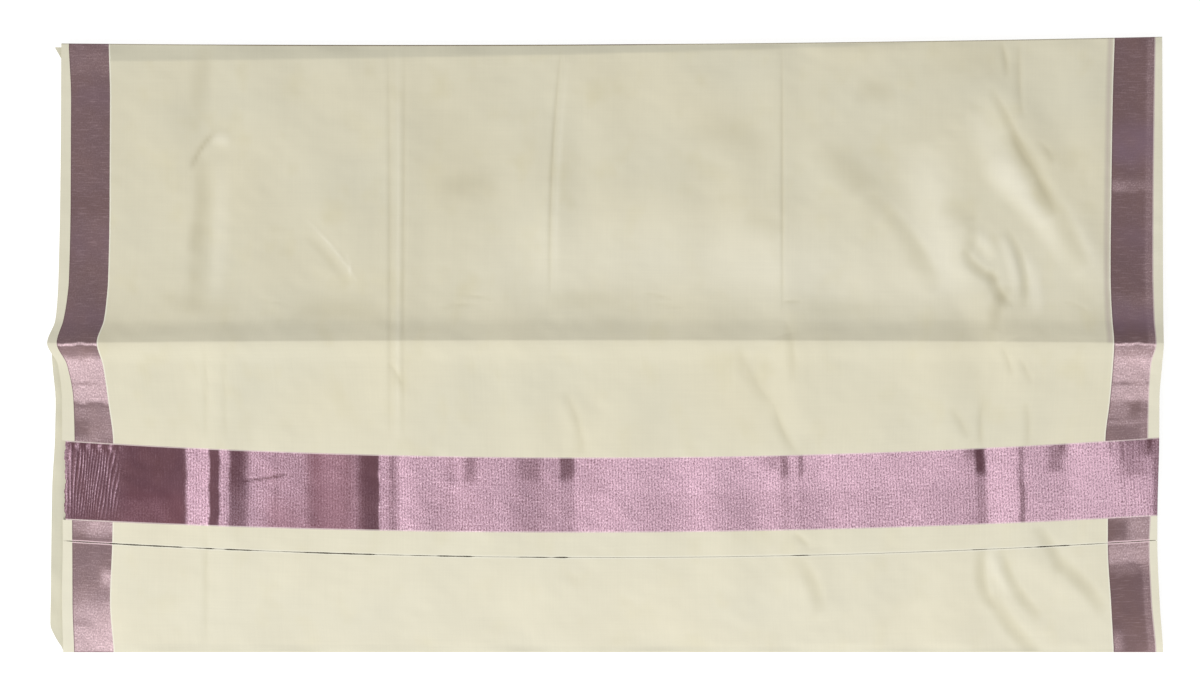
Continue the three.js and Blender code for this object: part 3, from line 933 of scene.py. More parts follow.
@dataclass(frozen=True)
class ZariFinish:
    """Rose-toned metal thread woven close. A piece's tone says how brightly the thread shines, as painted
    highlight and shade in its colour, with painted glints.
    """

    name: str
    thread: Thread
    bright: tuple[float, float, float, float]
    dark: tuple[float, float, float, float]
    brown: tuple[float, float, float, float]
    edge_lines: tuple[float, ...]
    dark_lines: tuple[float, ...] = ()
    violet: tuple[float, float, float, float] = (0.185, 0.115, 0.155, 1.0)
    edge: tuple[float, float, float, float] = (0.74, 0.64, 0.60, 1.0)
    glint: tuple[float, float, float, float] = (0.92, 0.78, 0.80, 1.0)
    glints: float = 1.5
    glint_from: float = 0.30
    metallic: float = 0.5
    roughness: float = 0.45
    anisotropy: float = 0.5
    pitch: float = 0.7
    sparkle: float = 0.14
    streak: float = 0.08
    streak_size: tuple[float, float] = (9.0, 1.3)
    streak_from: float = 0.18
    streak_more: float = 0.7
    streak_least: float = 0.22
    grain_size: tuple[float, float] = (1.6, 1.9)
    grain_rough: float = 0.75
    grain_relief: float = 0.3
    thread_depth: float = 0.05
    cloud_size: tuple[float, float] = (26.0, 34.0)
    headroom: float = 0.68
    liveliness: float = 0.16
    rib: float = 0.0
    rib_pitch: float = 3.2
    rib_sway: float = 2.2
    rust_more: float = 0.4
    rust_least: float = 0.2
    rust_share: float = 0.5
    edge_reach: float = 1.0
    edge_share: float = 0.7
    dark_reach: float = 0.9
    dark_share: float = 0.8
    halo_gain: float = 1.5

    def material(self) -> bpy.types.Material:
        """Makes the material.

        Returns:
            The material.
        """
        bench = NodeBench(self.name)
        across, along = bench.weave()
        runs_along = self.thread is Thread.WARP
        beside = across if runs_along else along
        grain = bench.noise(across, along, *self.grain_size, rough=self.grain_rough)
        streak = bench.noise(across, along, *self.streak_size)
        cloud = bench.noise(across, along, *self.cloud_size)
        # the piece's tone is painted highlight and shade of the thread
        held = bench.math("MULTIPLY", bench.held("tone"), self.headroom)
        lively = bench.math("ADD", held, self.liveliness)
        uneven = bench.math("MULTIPLY", grain, self.sparkle)
        if self.rib:
            ribs = bench.math("MULTIPLY", across, 2 * math.pi / self.rib_pitch)
            wavy = bench.math("MULTIPLY_ADD", cloud, self.rib_sway, ribs)
            uneven = bench.math("MULTIPLY_ADD", bench.math("SINE", wavy), self.rib, uneven)
        tone = bench.math("MULTIPLY_ADD", uneven, lively, held)
        bare = bench.math("MULTIPLY_ADD", held, self.streak_more, self.streak_least)
        stripe = bench.math("MULTIPLY", bench.math("SUBTRACT", streak, self.streak_from, clamp=True), bare)
        tone = bench.math("MULTIPLY_ADD", stripe, self.streak, tone, clamp=True)
        colour = bench.mix(tone, self.dark, self.bright)
        # painted glints on the thread, where it is painted bright
        lit = bench.math("MULTIPLY", bench.math("SUBTRACT", grain, self.glint_from, clamp=True), self.glints)
        colour = bench.mix(bench.math("MULTIPLY", lit, held, clamp=True), colour, self.glint)
        colour = bench.mix(bench.held("mark"), colour, self.violet)
        rusty = bench.math("MULTIPLY_ADD", cloud, self.rust_more, self.rust_least, clamp=True)
        rusty = bench.math("MULTIPLY", rusty, self.rust_share)
        colour = bench.mix(rusty, colour, bench.mix(tone, self.brown, self.bright))
        for place in self.edge_lines:
            share = bench.math("MULTIPLY", bench.line(beside, place, self.edge_reach), self.edge_share)
            colour = bench.mix(share, colour, self.edge)
        for place in self.dark_lines:
            share = bench.math("MULTIPLY", bench.line(beside, place, self.dark_reach), self.dark_share)
            colour = bench.mix(share, colour, self.dark)
        if runs_along:
            # painted highlight on the border's thread beside the open cut line
            share = bench.math("MULTIPLY", bench.halo(along), self.halo_gain, clamp=True)
            colour = bench.mix(share, colour, self.bright)
        relief = bench.math("MULTIPLY_ADD", grain, self.grain_relief, bench.threads(beside, self.pitch))
        tangent = bench.nodes.new("ShaderNodeTangent")
        tangent.direction_type = "UV_MAP"
        tangent.uv_map = "weave"
        bench.surface(
            base_color=colour,
            metallic=self.metallic,
            roughness=self.roughness,
            anisotropic=self.anisotropy,
            anisotropic_rotation=self.thread.value,
            tangent=tangent.outputs[0],
            normal=bench.bump(relief, self.thread_depth),
        )
        return bench.material


BORDER_ZARI = ZariFinish(
    name="zari_border",
    thread=Thread.WARP,
    bright=(0.78, 0.575, 0.61, 1.0),
    dark=(0.13, 0.073, 0.078, 1.0),
    brown=(0.165, 0.088, 0.065, 1.0),
    edge_lines=(OUTER_RIGHT - 0.5,),
    dark_lines=(OUTER_LEFT + 0.5, INNER_RIGHT + 0.6),
    metallic=0.35,
    roughness=0.55,
    sparkle=0.62,
    streak=0.60,
    streak_size=(14.0, 1.5),
    liveliness=0.0,
)
BAND_ZARI = ZariFinish(
    name="zari_band",
    thread=Thread.WEFT,
    bright=(0.70, 0.455, 0.56, 1.0),
    dark=(0.08, 0.026, 0.038, 1.0),
    brown=(0.10, 0.032, 0.032, 1.0),
    edge_lines=(BAND_TOP - 0.6, BAND_BOTTOM + 0.6),
    metallic=0.45,
    anisotropy=0.4,
    sparkle=0.92,
    streak=0.30,
    streak_size=(1.1, 9.0),
    grain_size=(1.35, 2.1),
    liveliness=0.05,
    rib=0.17,
    violet=(0.22, 0.065, 0.085, 1.0),
)


@dataclass(frozen=True)
class Patch:
    """A stretch of a zari weave that shines more or less than the rest, as painted highlight or shade, in
    millimetres.

    On the band start and end are across the cloth, and the patch reaches depth down from the upper
    edge. On a border they are weft lines, and it reaches depth from the left edge. near is its share
    within that depth, and far its share past it.
    """

    start: float
    end: float
    tone: float
    soft_start: float = 1.5
    soft_end: float = 1.5
    near: float = 1.0
    far: float = 1.0
    depth: float = 40.0
    soft_depth: float = 3.5


def patched(base: float, patches: tuple[Patch, ...], place: np.ndarray, aside: np.ndarray) -> np.ndarray:
    """The tone of a weave with its patches.

    Args:
        base: Tone of the rest.
        patches: The patches, each laid over those before it.
        place: Place of each point along the patches' own axis.
        aside: How far each point is from the edge that their depth is measured from.

    Returns:
        The tones.
    """
    tone = np.full(place.shape, base)
    for patch in patches:
        share = soft_step(place, patch.start, patch.soft_start)
        share = share * (1 - soft_step(place, patch.end, patch.soft_end))
        past = soft_step(aside, patch.depth, patch.soft_depth)
        share = share * (patch.near * (1 - past) + patch.far * past)
        tone = tone * (1 - share) + patch.tone * share
    return tone


# Painted highlight and shade of the band's thread: where it catches the light and where it lies dark.
BAND_PATCHES = (
    Patch(650, 1165, 1.08, 50, 3),
    Patch(-5, 64, 0.02, 1, 3),
    Patch(-5, 7, 0.34, 1, 3, 1.0, 0.5),
    Patch(58, 130, 0.0, 4, 1.5),
    Patch(62, 112, 0.08, 8, 8, 0.0, 1.0, 58),
    Patch(130, 154, 0.80, 1.5, 0.8, 1.0, 0.82),
    Patch(153.5, 165.0, 0.0, 0.6, 0.8),
    Patch(165, 174.5, 0.78, 1.5, 1.5),
    Patch(174.5, 196, 0.04, 1.5, 5, 1.0, 0.80, 45, 16),
    Patch(198, 255, 0.60, 5, 6, 1.0, 0.9),
    Patch(222, 226, 0.35, 2, 2, 0.6, 1.0),
    Patch(212, 250, 0.40, 6, 8, 0.0, 0.6, 60, 10),
    Patch(255, 306, 0.30, 5, 4),
    Patch(272, 296, 0.44, 5, 5, 1.0, 0.4, 40, 10),
    Patch(262, 270, 0.20, 3, 3, 0.8, 0.2, 22),
    Patch(308, 334, 0.0, 6, 0.8, 1.0, 0.95, 45, 14),
    Patch(360, 575, 0.90, 6, 12),
    Patch(334, 341, 0.70, 1, 1.5),
    Patch(341, 355, 0.56, 2.0, 2.0),
    Patch(346, 350, 0.22, 1.2, 1.2, 0.8, 0.5),
    Patch(380, 455, 0.74, 10, 8, 0.3, 1.0, 40, 8),
    Patch(405, 414, 0.50, 5, 4, 1.0, 0.2, 30),
    Patch(423, 436, 0.34, 4, 3, 1.0, 0.2, 28),
    Patch(472, 514, 0.70, 6, 5),
    Patch(482, 504, 0.39, 4, 3, 1.0, 0.25, 25),
    Patch(516, 522, 0.70, 2, 2),
    Patch(525, 541, 0.16, 1.5, 1.5, 1.0, 0.30, 25),
    Patch(548, 575, 0.78, 5, 8, 1.0, 0.3),
    Patch(575, 830, 0.92, 20, 20, 0.0, 1.0),
    Patch(742, 758, 0.72, 5, 3, 1.0, 0.0, 16),
    Patch(760, 768, 0.38, 2, 1.5, 1.0, 0.3, 24),
    Patch(778.5, 784, 0.42, 1.5, 1.5, 1.0, 0.2, 24),
    Patch(830, 950, 0.96, 20, 8, 0.2, 1.0),
    Patch(955, 968, 0.50, 4, 2, 1.0, 0.3, 12),
    Patch(966.5, 977.5, 0.02, 1.3, 1.3, 1.0, 0.45, 29),
    Patch(1012, 1018, 0.32, 1.5, 1.5, 0.8, 1.0),
    Patch(1044, 1060, 0.50, 4, 3, 1.0, 0.1, 30),
    Patch(1056, 1066, 0.12, 2, 3, 1.0, 0.1, 12),
    Patch(1084, 1088, 0.20, 1.5, 1.5, 1.0, 0.0, 12),
    Patch(1084, 1089, 0.35, 1.0, 1.0, 1.0, 0.0, 30),
    Patch(1107, 1112, 0.05, 1.5, 1.5, 1.0, 0.2, 16),
    Patch(1066, 1112, 1.24, 8, 6),
    Patch(1118, 1146, 0.62, 6, 4, 1.0, 0.1),
    Patch(1120, 1123, 0.25, 1.0, 1.0, 1.0, 0.2, 22),
    Patch(1130, 1132, 0.30, 1.0, 1.0, 1.0, 0.3, 30),
    Patch(1140, 1165, 0.35, 3, 2, 1.0, 0.1, 18),
    Patch(1152, 1165, 0.45, 1.5, 2),
)
# The same for the left and the right border.
LEFT_PATCHES = (
    Patch(284, 330, 0.19, 6, 2),
    Patch(135, 162, 0.07, 5, 5),
    Patch(-1.6, 1.2, 1.0, 0.5, 0.5),
    Patch(-15, -1.6, 0.07, 4, 0.5),
    Patch(-61, -15, 0.78, 1.2, 4),
    Patch(-42.5, -40.5, 0.30, 0.6, 0.6, 1.0, 0.2, 30),
    Patch(-80, -61, 0.30, 6, 1.2),
    Patch(-64, -61, 0.12, 1, 1),
    Patch(-92, -76, 0.44, 4, 4, 0.0, 0.6, 18),
    Patch(-108, -80, 0.12, 3, 5),
    Patch(-98, -82, 0.45, 4, 4, 0.0, 0.7, 16),
    Patch(-108, -96, 0.42, 3, 3, 1.0, 0.3, 24),
    Patch(-199, -180, 0.58, 4, 2, 0.5, 1.0, 16),
    Patch(-226, -206, 0.14, 5, 3),
    Patch(-270, -226, 0.22, 6, 6),
    Patch(-252, -236, 0.85, 4, 4, 0.0, 1.0, 32),
    Patch(-330, -270, 0.88, 3, 14),
    Patch(-296, -286, 0.55, 3, 3, 1.0, 0.3, 21),
    Patch(-330, -306, 0.92, 3, 5, 0.0, 1.0, 18),
)
RIGHT_PATCHES = (
    Patch(186, 216, 0.12, 8, 8),
    Patch(157, 168, 0.40, 2, 3, 1.0, 0.5, 14),
    Patch(24, 50, 0.16, 5, 5),
    Patch(8, 22, 0.02, 3, 3),
    Patch(-1.6, 1.2, 1.0, 0.5, 0.5),
    Patch(-12, -1.6, 0.36, 3, 0.5),
    Patch(-61, -12, 0.70, 2, 3),
    Patch(-42.5, -40.5, 0.16, 0.6, 0.6),
    Patch(-77, -61, 0.38, 2, 2),
    Patch(-77, -61, 0.08, 3, 2, 0.0, 0.9, 22),
    Patch(-86, -77, 0.40, 2, 2),
    Patch(-79.5, -77.5, 0.16, 0.8, 0.8),
    Patch(-108, -86, 0.15, 2, 2),
    Patch(-208, -180, 0.45, 4, 4),
    Patch(-206, -184, 0.06, 4, 4, 1.0, 0.0, 20),
    Patch(-229, -208, 0.58, 2, 4),
    Patch(-240, -229, 0.20, 3, 3),
    Patch(-300, -240, 0.03, 6, 4),
    Patch(-330, -300, 0.05, 3, 6),
    Patch(-325, -303, 0.42, 2, 4, 0.8, 0.0, 9),
)

# Stretches of the band with a rosier cast.
BAND_ROSE = (
    Patch(62, 128, 0.18, 10, 6, 0.0, 1.0, 50, 10),
    Patch(214, 256, 0.25, 8, 6, 0.2, 1.0, 50, 12),
    Patch(256, 310, 0.30, 8, 8),
)
# Stretches of the borders with a violet cast.
LEFT_VIOLET = (Patch(10, 40, 0.35, 8, 8), Patch(90, 120, 0.25, 8, 8), Patch(250, 270, 0.2, 6, 6))
RIGHT_VIOLET = (Patch(186, 226, 0.65, 8, 8), Patch(12, 40, 0.60, 6, 6), Patch(100, 120, 0.3, 8, 8))

# The brightest tone that the band's thread can have.
BRIGHTEST = 1.3

# Where weft lines lie closer together: (place, reach, how many times closer).
UPPER_ROWS = ((0.0, 16.0, 2.5), (300.0, 14.0, 0.6))
BAND_ROWS = ((BAND_TOP, 4.0, 1.0), (BAND_BOTTOM, 4.0, 1.0))
LOWER_ROWS = ((CUT_LINE, 6.0, 1.0),)
SECOND_ROWS = ((0.0, 16.0, 2.0), (-308.0, 12.0, 2.0))
HIDDEN_ROWS = ((0.0, 16.0, 3.0),)
# The same for places across: the long pressed lines of the ground, the band's crinkles and patches.
GROUND_COLUMNS = (
    (520.0, 9.0, 1.8),
    (759.0, 6.0, 2.4),
    (343.0, 7.0, 1.8),
    (360.0, 7.0, 1.8),
    (975.0, 55.0, 0.7),
)
BAND_COLUMNS = ((30.0, 30.0, 4.0), (160.0, 20.0, 1.0), (333.0, 8.0, 1.0))
SECOND_COLUMNS = ((4.0, 12.0, 4.0),)


def declare(piece: bpy.types.Object, flat: tuple[float, float]) -> None:
    """Says what a piece stands for and the size that it was woven to.

    Args:
        piece: The piece, named after its node.
        flat: Its woven size across and along the cloth, in metres.
    """
    node = piece.name.removesuffix("_cloth")
    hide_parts(node)
    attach(piece, BODY)
    size = [side / MM for side in flat]
    LOG.info("%s: %d faces, woven %.0f by %.0f mm", piece.name, len(piece.data.polygons), *size)


@dataclass(frozen=True)
class BandPaintedLightAndWear:
    """Wear and painted light of the band: painted highlight on the crinkles, a frayed upper edge, dark runs
    of painted shade and a scored line.

    Each is worked out from places across the cloth and from how far below the band's upper edge each
    point is. A gain is how much of it is added to the tone or taken off.
    """

    crinkle_gain: float = 0.84
    crinkle_power: float = 1.6
    crinkle_faded: float = 0.25
    crinkle_faded_from: float = 45.0
    crinkle_faded_soft: float = 12.0
    frayed_gain: float = 0.45
    frayed_least: float = -0.2
    frayed_middle: float = 4.5
    frayed_reach: float = 4.0
    runs_gain: float = 0.42
    runs_from: float = 1076.0
    runs_soft: float = 8.0
    runs_depth: float = 14.0
    runs_spread: float = 7.0
    scored_gain: float = 0.5
    scored_start: float = 191.0
    scored_end: float = 234.0
    scored_middle: float = 34.0
    scored_slope: float = 0.2
    scored_reach: float = 1.3
    soft_end: float = 3.0

    def crinkles(self, wave: np.ndarray, below: np.ndarray) -> np.ndarray:
        """The painted highlight of the thread on the crinkles' backs.

        Args:
            wave: The crinkles, from -1 to 1.
            below: How far below the upper edge each point is.

        Returns:
            How bright it is, from 0 to 1.
        """
        faded = self.crinkle_faded * soft_step(below, self.crinkle_faded_from, self.crinkle_faded_soft)
        return np.maximum(wave, 0.0) ** self.crinkle_power * (1 - faded)

    def frayed(self, across: np.ndarray, below: np.ndarray, end: float) -> np.ndarray:
        """The loose bright threads along the upper edge of the crinkled end.

        Args:
            across: Places across the cloth.
            below: How far below the upper edge each point is.
            end: Where the crinkles end.

        Returns:
            How bright they are, and how dark the places between them.
        """
        threads = np.sin(across / 1.9 + 1.3 * np.sin(below / 3.0))
        threads = threads * np.exp(-(((below - self.frayed_middle) / self.frayed_reach) ** 2))
        return np.maximum(threads * (1 - soft_step(across, end, self.soft_end)), self.frayed_least)

    def runs(self, across: np.ndarray, below: np.ndarray) -> np.ndarray:
        """The dark runs of painted shade down from the upper edge at the right end.

        Args:
            across: Places across the cloth.
            below: How far below the upper edge each point is.

        Returns:
            How dark they are, from 0 to 1.
        """
        runs = np.maximum(np.sin(across / 1.2 + 2.0 * np.sin(across / 4.1)), 0.0)
        runs = runs * soft_step(across, self.runs_from, self.runs_soft)
        return runs * np.exp(-below / (self.runs_depth + self.runs_spread * np.sin(across / 3.3)))

    def scored(self, across: np.ndarray, below: np.ndarray) -> np.ndarray:
        """The thin dark line that slants across a stretch of the band.

        Args:
            across: Places across the cloth.
            below: How far below the upper edge each point is.

        Returns:
            How dark it is, from 0 to 1.
        """
        away = below - self.scored_middle + self.scored_slope * (across - self.scored_start)
        line = np.exp(-((away / self.scored_reach) ** 2))
        line = line * soft_step(across, self.scored_start, self.soft_end)
        return line * (1 - soft_step(across, self.scored_end, self.soft_end))


@dataclass
class TopStretch:
    """The length of cloth on top of the stack, one piece for each zone woven into it."""

    lie: ClothLie
    wall: float = 0.4
    hollow: float = 0.5
    loft: float = 0.9
    crest_rise: float = 2.2
    crest_above: float = 6.0
    crest_below: float = 60.0
    upper_radius: float = 1.5
    lower_radius: float = 0.9
    fold_steps: int = 12
    stride: int = 4
    cut_gap: float = 1.6
    band_inset: float = 2.4
    upper_steps: int = 176
    band_steps: int = 44
    strip_steps: int = 12  # between the band and the cut line
    lower_steps: int = 52
    border_steps: int = 24
    selvedge_steps: int = 4
    ground_steps: int = 404
    across_band_steps: int = 640
    end_run: float = 12.0  # creases die out over this length before a fold
    darkest: float = 0.9
    crinkle_start: float = 3.0
    crinkle_start_soft: float = 1.5
    crinkle_end: float = 58.0
    crinkle_end_soft: float = 3.0
    crinkle_pitch: float = 3.2
    crinkle_rise: float = 0.22
    crinkle_lean: float = -0.16
    crinkle_uneven: float = 0.22
    painted_light_below: float = 0.30
    painted_light_below_from: float = 110.0
    painted_light_below_soft: float = 90.0
    fray: float = 0.45
    fray_reach: float = 5.0
    gape_soft: float = 3.0
    gape_uneven: float = 0.15
    gape_wave: float = 4.0
    turned_width: float = 19.0  # of the layer that shows through at the left of the upper fold
    turned_end: float = 930.0
    turned_least: float = 1.5
    foot_width: float = 10.0  # of the same at the lower fold
    foot_end: float = 1150.0
    foot_tone: float = 0.5
    side_width: float = 7.5  # of the same beside the right border
    side_tone: float = 0.7
    left_tone: float = 0.11
    right_tone: float = 0.07
    pale_width: float = 8.5  # of the paler outer threads of the right border
    pale_tone: float = 0.36
    fold_tone: float = 0.15
    painted_light_and_wear: BandPaintedLightAndWear = BandPaintedLightAndWear()
    slack_run: float = 0.5  # the slack's swells are this many times as frequent along the cloth as across it
    slack: Ripple = field(default_factory=lambda: Ripple(11, 60, 150, 0.62))
    rumple: Ripple = field(default_factory=lambda: Ripple(12, 14, 36, 0.07, 40))

    def surface(self, across: np.ndarray, at: np.ndarray) -> tuple[np.ndarray, np.ndarray, np.ndarray]:
        """The outer face, and how far it lies over the cloth's plain lie.

        Args:
            across: Places across the cloth.
            at: Weft lines.

        Returns:
            A grid of points, a grid of heights, and a grid of the creases' painted shade and highlight, with
            the painted highlight below the band.
        """
        points = self.lie.place(across, at)
        x, y = points[..., 0], points[..., 1]
        rise = self.loft + self.slack(x, self.slack_run * y) + self.rumple(x, y)
        mark = np.zeros_like(x)
        for crease in LOOSE_FOLDS + FINE_CREASES:
            height, dark = crease.shape(x, y)
            rise = rise + height
            mark = mark + dark
        ends = np.minimum(UPPER_FOLD + FOLD_ROOM - at, at - LOWER_FOLD + FOLD_ROOM)
        ends = np.clip(ends / self.end_run, 0.0, 1.0)
        ends = ends * (2 - ends)
        rise = np.maximum(rise, -self.hollow) * ends[:, None]
        rise = rise + self.crinkle(across, at) + self.crest(at)[:, None]
        points[..., 2] += rise
        # painted highlight: paler and less yellow towards the lower fold, where the cloth faces the light
        mark = mark - self.painted_light_below * soft_step(-at, self.painted_light_below_from, self.painted_light_below_soft)[:, None]
        return points, rise, np.clip(mark, -1.0, self.darkest)

    def crest(self, at: np.ndarray) -> np.ndarray:
        """The crisp top of the ridge across the stack.

        Args:
            at: Weft lines.

        Returns:
            Its height on each.
        """
        away = at - RIDGE
        reach = np.where(away > 0, self.crest_above, self.crest_below)
        return self.crest_rise * np.exp(-np.abs(away) / reach)

    def crinkle(self, across: np.ndarray, at: np.ndarray) -> np.ndarray:
        """The fine upright ridges at the band's left end.

        Args:
            across: Places across the cloth.
            at: Weft lines.

        Returns:
            A grid of their heights.
        """
        inside = soft_step(across, self.crinkle_start, self.crinkle_start_soft)
        inside = inside * (1 - soft_step(across, self.crinkle_end, self.crinkle_end_soft))
        middle = (BAND_TOP + BAND_BOTTOM) / 2
        half = (BAND_TOP - BAND_BOTTOM) / 2
        depth = np.clip(1 - ((at - middle) / half) ** 4, 0.0, 1.0)
        u, v = across[None, :], at[:, None]
        lean = self.crinkle_lean * (v - middle) * (u / self.crinkle_end)
        wave = np.sin(2 * math.pi * (u + lean + swaying(CRINKLE_SWAY, u, v)) / self.crinkle_pitch)
        uneven = np.sin(v / 8.0 + 2.5 * np.sin(u / 3.7))
        uneven = 1 - self.crinkle_uneven + self.crinkle_uneven * uneven
        return self.crinkle_rise * inside[None, :] * depth[:, None] * uneven * wave

    def flat_shell(self, mesh: ShellMesh, across: np.ndarray, at: np.ndarray, tone: np.ndarray,
                   tint: np.ndarray | None = None, frayed: bool = False) -> None:
        """Adds a shell of the cloth where it lies flat.

        Args:
            mesh: Where the shell goes.
            across: Places across the cloth.
            at: Weft lines.
            tone: Tone of each point.
            tint: Tint of each point, in place of the painted shade and highlight of the creases.
            frayed: Whether its left end is jagged.
        """
        outer, rise, mark = self.surface(across, at)
        mark = mark if tint is None else tint
        for row, way in ((0, 1.0), (-1, -1.0)):
            beside_cut_line = abs(at[row] - CUT_LINE) < self.cut_gap
            if beside_cut_line:
                outer[row, :, 1] += way * self.closed(outer[row, :, 0])
        if frayed:
            near_end = np.clip(1 - (across - across[0]) / self.fray_reach, 0.0, 1.0)
            jag = swaying(FRAY_JAG, across[:1], at[:, None])
            outer[..., 0] += self.fray * jag * near_end
        inner = outer.copy()
        inner[..., 2] -= rise + self.hollow + self.wall
        weave = np.stack(np.broadcast_arrays(across[None, :], at[:, None]), axis=-1)
        stride = self.stride if len(across) > 4 * self.stride else 1
        mesh.add(outer, inner, weave, tone, np.array([0.0, 0.0, -self.wall]), mark, stride)

    def closed(self, x: np.ndarray) -> np.ndarray:
        """How far the open cut line has drawn together along its length.

        Args:
            x: X of the places.

        Returns:
            How far each side lies from where it is fully open.
        """
        share = np.full_like(x, NEARLY_CLOSED)
        for start, end, most in OPEN_STRETCHES:
            inside = soft_step(x, start, self.gape_soft) * (1 - soft_step(x, end, self.gape_soft))
            uneven = 1 - self.gape_uneven + self.gape_uneven * np.sin(x / self.gape_wave)
            share = np.maximum(share, most * inside * uneven)
        return self.cut_gap / 2 * (1 - share)

    def fold_shell(self, mesh: ShellMesh, across: np.ndarray, upper: bool, tone: float) -> None:
        """Adds the shell that turns down and under at the upper or the lower fold.

        Args:
            mesh: Where the shell goes.
            across: Places across the cloth.
            upper: Whether it is the upper fold.
            tone: Tone of the shell.
        """
        side = 1.0 if upper else -1.0
        radius = self.upper_radius if upper else self.lower_radius
        start = self.fold_starts()[0 if upper else 1]
        base = self.surface(across, np.array([start]))[0][0]
        turn = np.linspace(0, math.pi, self.fold_steps + 1)
        turn = turn[::-1] if upper else turn
        out = side * np.sin(turn)[:, None]
        up = np.cos(turn)[:, None]
        ways = np.stack(np.broadcast_arrays(np.zeros_like(out), out, up), axis=-1)
        centre = base[None] - np.array([0.0, 0.0, radius])
        outer = centre + ways * radius
        inner = centre + ways * (radius - self.wall)
        run = start + side * turn * radius
        weave = np.stack(np.broadcast_arrays(across[None, :], run[:, None]), axis=-1)
        tones = np.full(outer.shape[:2], tone)
        mesh.add(outer, inner, weave, tones, -ways * self.wall)

    def fold_starts(self) -> tuple[float, float]:
        """The weft lines at which the upper and the lower fold begin to turn."""
        return UPPER_FOLD + FOLD_ROOM - self.upper_radius, LOWER_FOLD - FOLD_ROOM + self.lower_radius

    def rows(self) -> dict[str, list[np.ndarray]]:
        """The weft lines of each part of the cloth's length.

        Returns:
            For each part, the weft lines of each of its shells.
        """
        first, last = self.fold_starts()
        half = self.cut_gap / 2
        return {
            "upper": [graded(first, BAND_TOP, self.upper_steps, UPPER_ROWS)],
            "band": [graded(BAND_TOP, BAND_BOTTOM, self.band_steps, BAND_ROWS)],
            "lower": [
                graded(BAND_BOTTOM, CUT_LINE + half, self.strip_steps),
                graded(CUT_LINE - half, last, self.lower_steps, LOWER_ROWS),
            ],
        }

    def ground_tone(self, across: np.ndarray, at: np.ndarray) -> np.ndarray:
        """How far the lengths below show through the plain ground.

        Args:
            across: Places across the cloth.
            at: Weft lines.

        Returns:
            A grid of tones.
        """
        u, v = across[None, :], at[:, None]
        wide = self.turned_width * np.clip(1 - u / self.turned_end, 0.0, 1.0) ** 0.7
        strip = soft_step(v, UPPER_FOLD + FOLD_ROOM - wide, 0.8) * soft_step(wide, self.turned_least, 0.8)
        low = self.foot_width * np.clip(1 - u / self.foot_end, 0.0, 1.0) ** 0.5
        foot = self.foot_tone * (1 - soft_step(v, LOWER_FOLD - FOLD_ROOM + low, 1.2))
        side = self.side_tone * soft_step(u, INNER_RIGHT - self.side_width, 1.2) * soft_step(v, 0.0, 1.0)
        return np.maximum(np.maximum(strip, foot), side)

    def border_tone(self, across: np.ndarray, at: np.ndarray, left: bool) -> np.ndarray:
        """How brightly the thread of a border shines along its length, as painted highlight and shade.

        Args:
            across: Places across the cloth.
            at: Weft lines.
            left: Whether it is the left border.

        Returns:
            A grid of tones.
        """
        aside = np.broadcast_to(across[None, :] - across[0], (len(at), len(across)))
        patches, base = (LEFT_PATCHES, self.left_tone) if left else (RIGHT_PATCHES, self.right_tone)
        tone = patched(base, patches, at[:, None] + swaying(BORDER_WANDER, aside, at[:, None]), aside)
        if not left:
            pale = 0.5 * soft_step(across[None, :], OUTER_RIGHT - self.pale_width, 0.8)
            tone = tone * (1 - pale) + pale * np.maximum(tone, self.pale_tone)
        return tone

    def border_tint(self, across: np.ndarray, at: np.ndarray, left: bool) -> np.ndarray:
        """How violet a border is along its length."""
        place = np.broadcast_to(at[:, None], (len(at), len(across)))
        return patched(0.0, LEFT_VIOLET if left else RIGHT_VIOLET, place, np.zeros_like(place))

    def band_tone(self, across: np.ndarray, at: np.ndarray) -> np.ndarray:
        """How brightly the thread of the band shines, as painted highlight and shade.

        Args:
            across: Places across the cloth.
            at: Weft lines.

        Returns:
            A grid of tones.
        """
        aside = np.broadcast_to(BAND_TOP - at[:, None], (len(at), len(across)))
        tone = patched(1.0, BAND_PATCHES, across[None, :] + swaying(BAND_WANDER, aside, across), aside)
        painted_light_and_wear = self.painted_light_and_wear
        # painted highlight on the crinkles' backs and painted shade in the dark runs
        tone = tone + painted_light_and_wear.crinkle_gain * painted_light_and_wear.crinkles(self.crinkle(across, at) / self.crinkle_rise, aside)
        tone = tone - painted_light_and_wear.runs_gain * painted_light_and_wear.runs(across, aside)
        tone = tone - painted_light_and_wear.scored_gain * painted_light_and_wear.scored(across, aside)
        tone = tone + painted_light_and_wear.frayed_gain * painted_light_and_wear.frayed(across, aside, self.crinkle_end)
        return np.clip(tone, 0.0, BRIGHTEST)

    def band_tint(self, across: np.ndarray, at: np.ndarray) -> np.ndarray:
        """How rosy the band is."""
        aside = np.broadcast_to(BAND_TOP - at[:, None], (len(at), len(across)))
        return patched(0.0, BAND_ROSE, np.broadcast_to(across[None, :], aside.shape), aside)

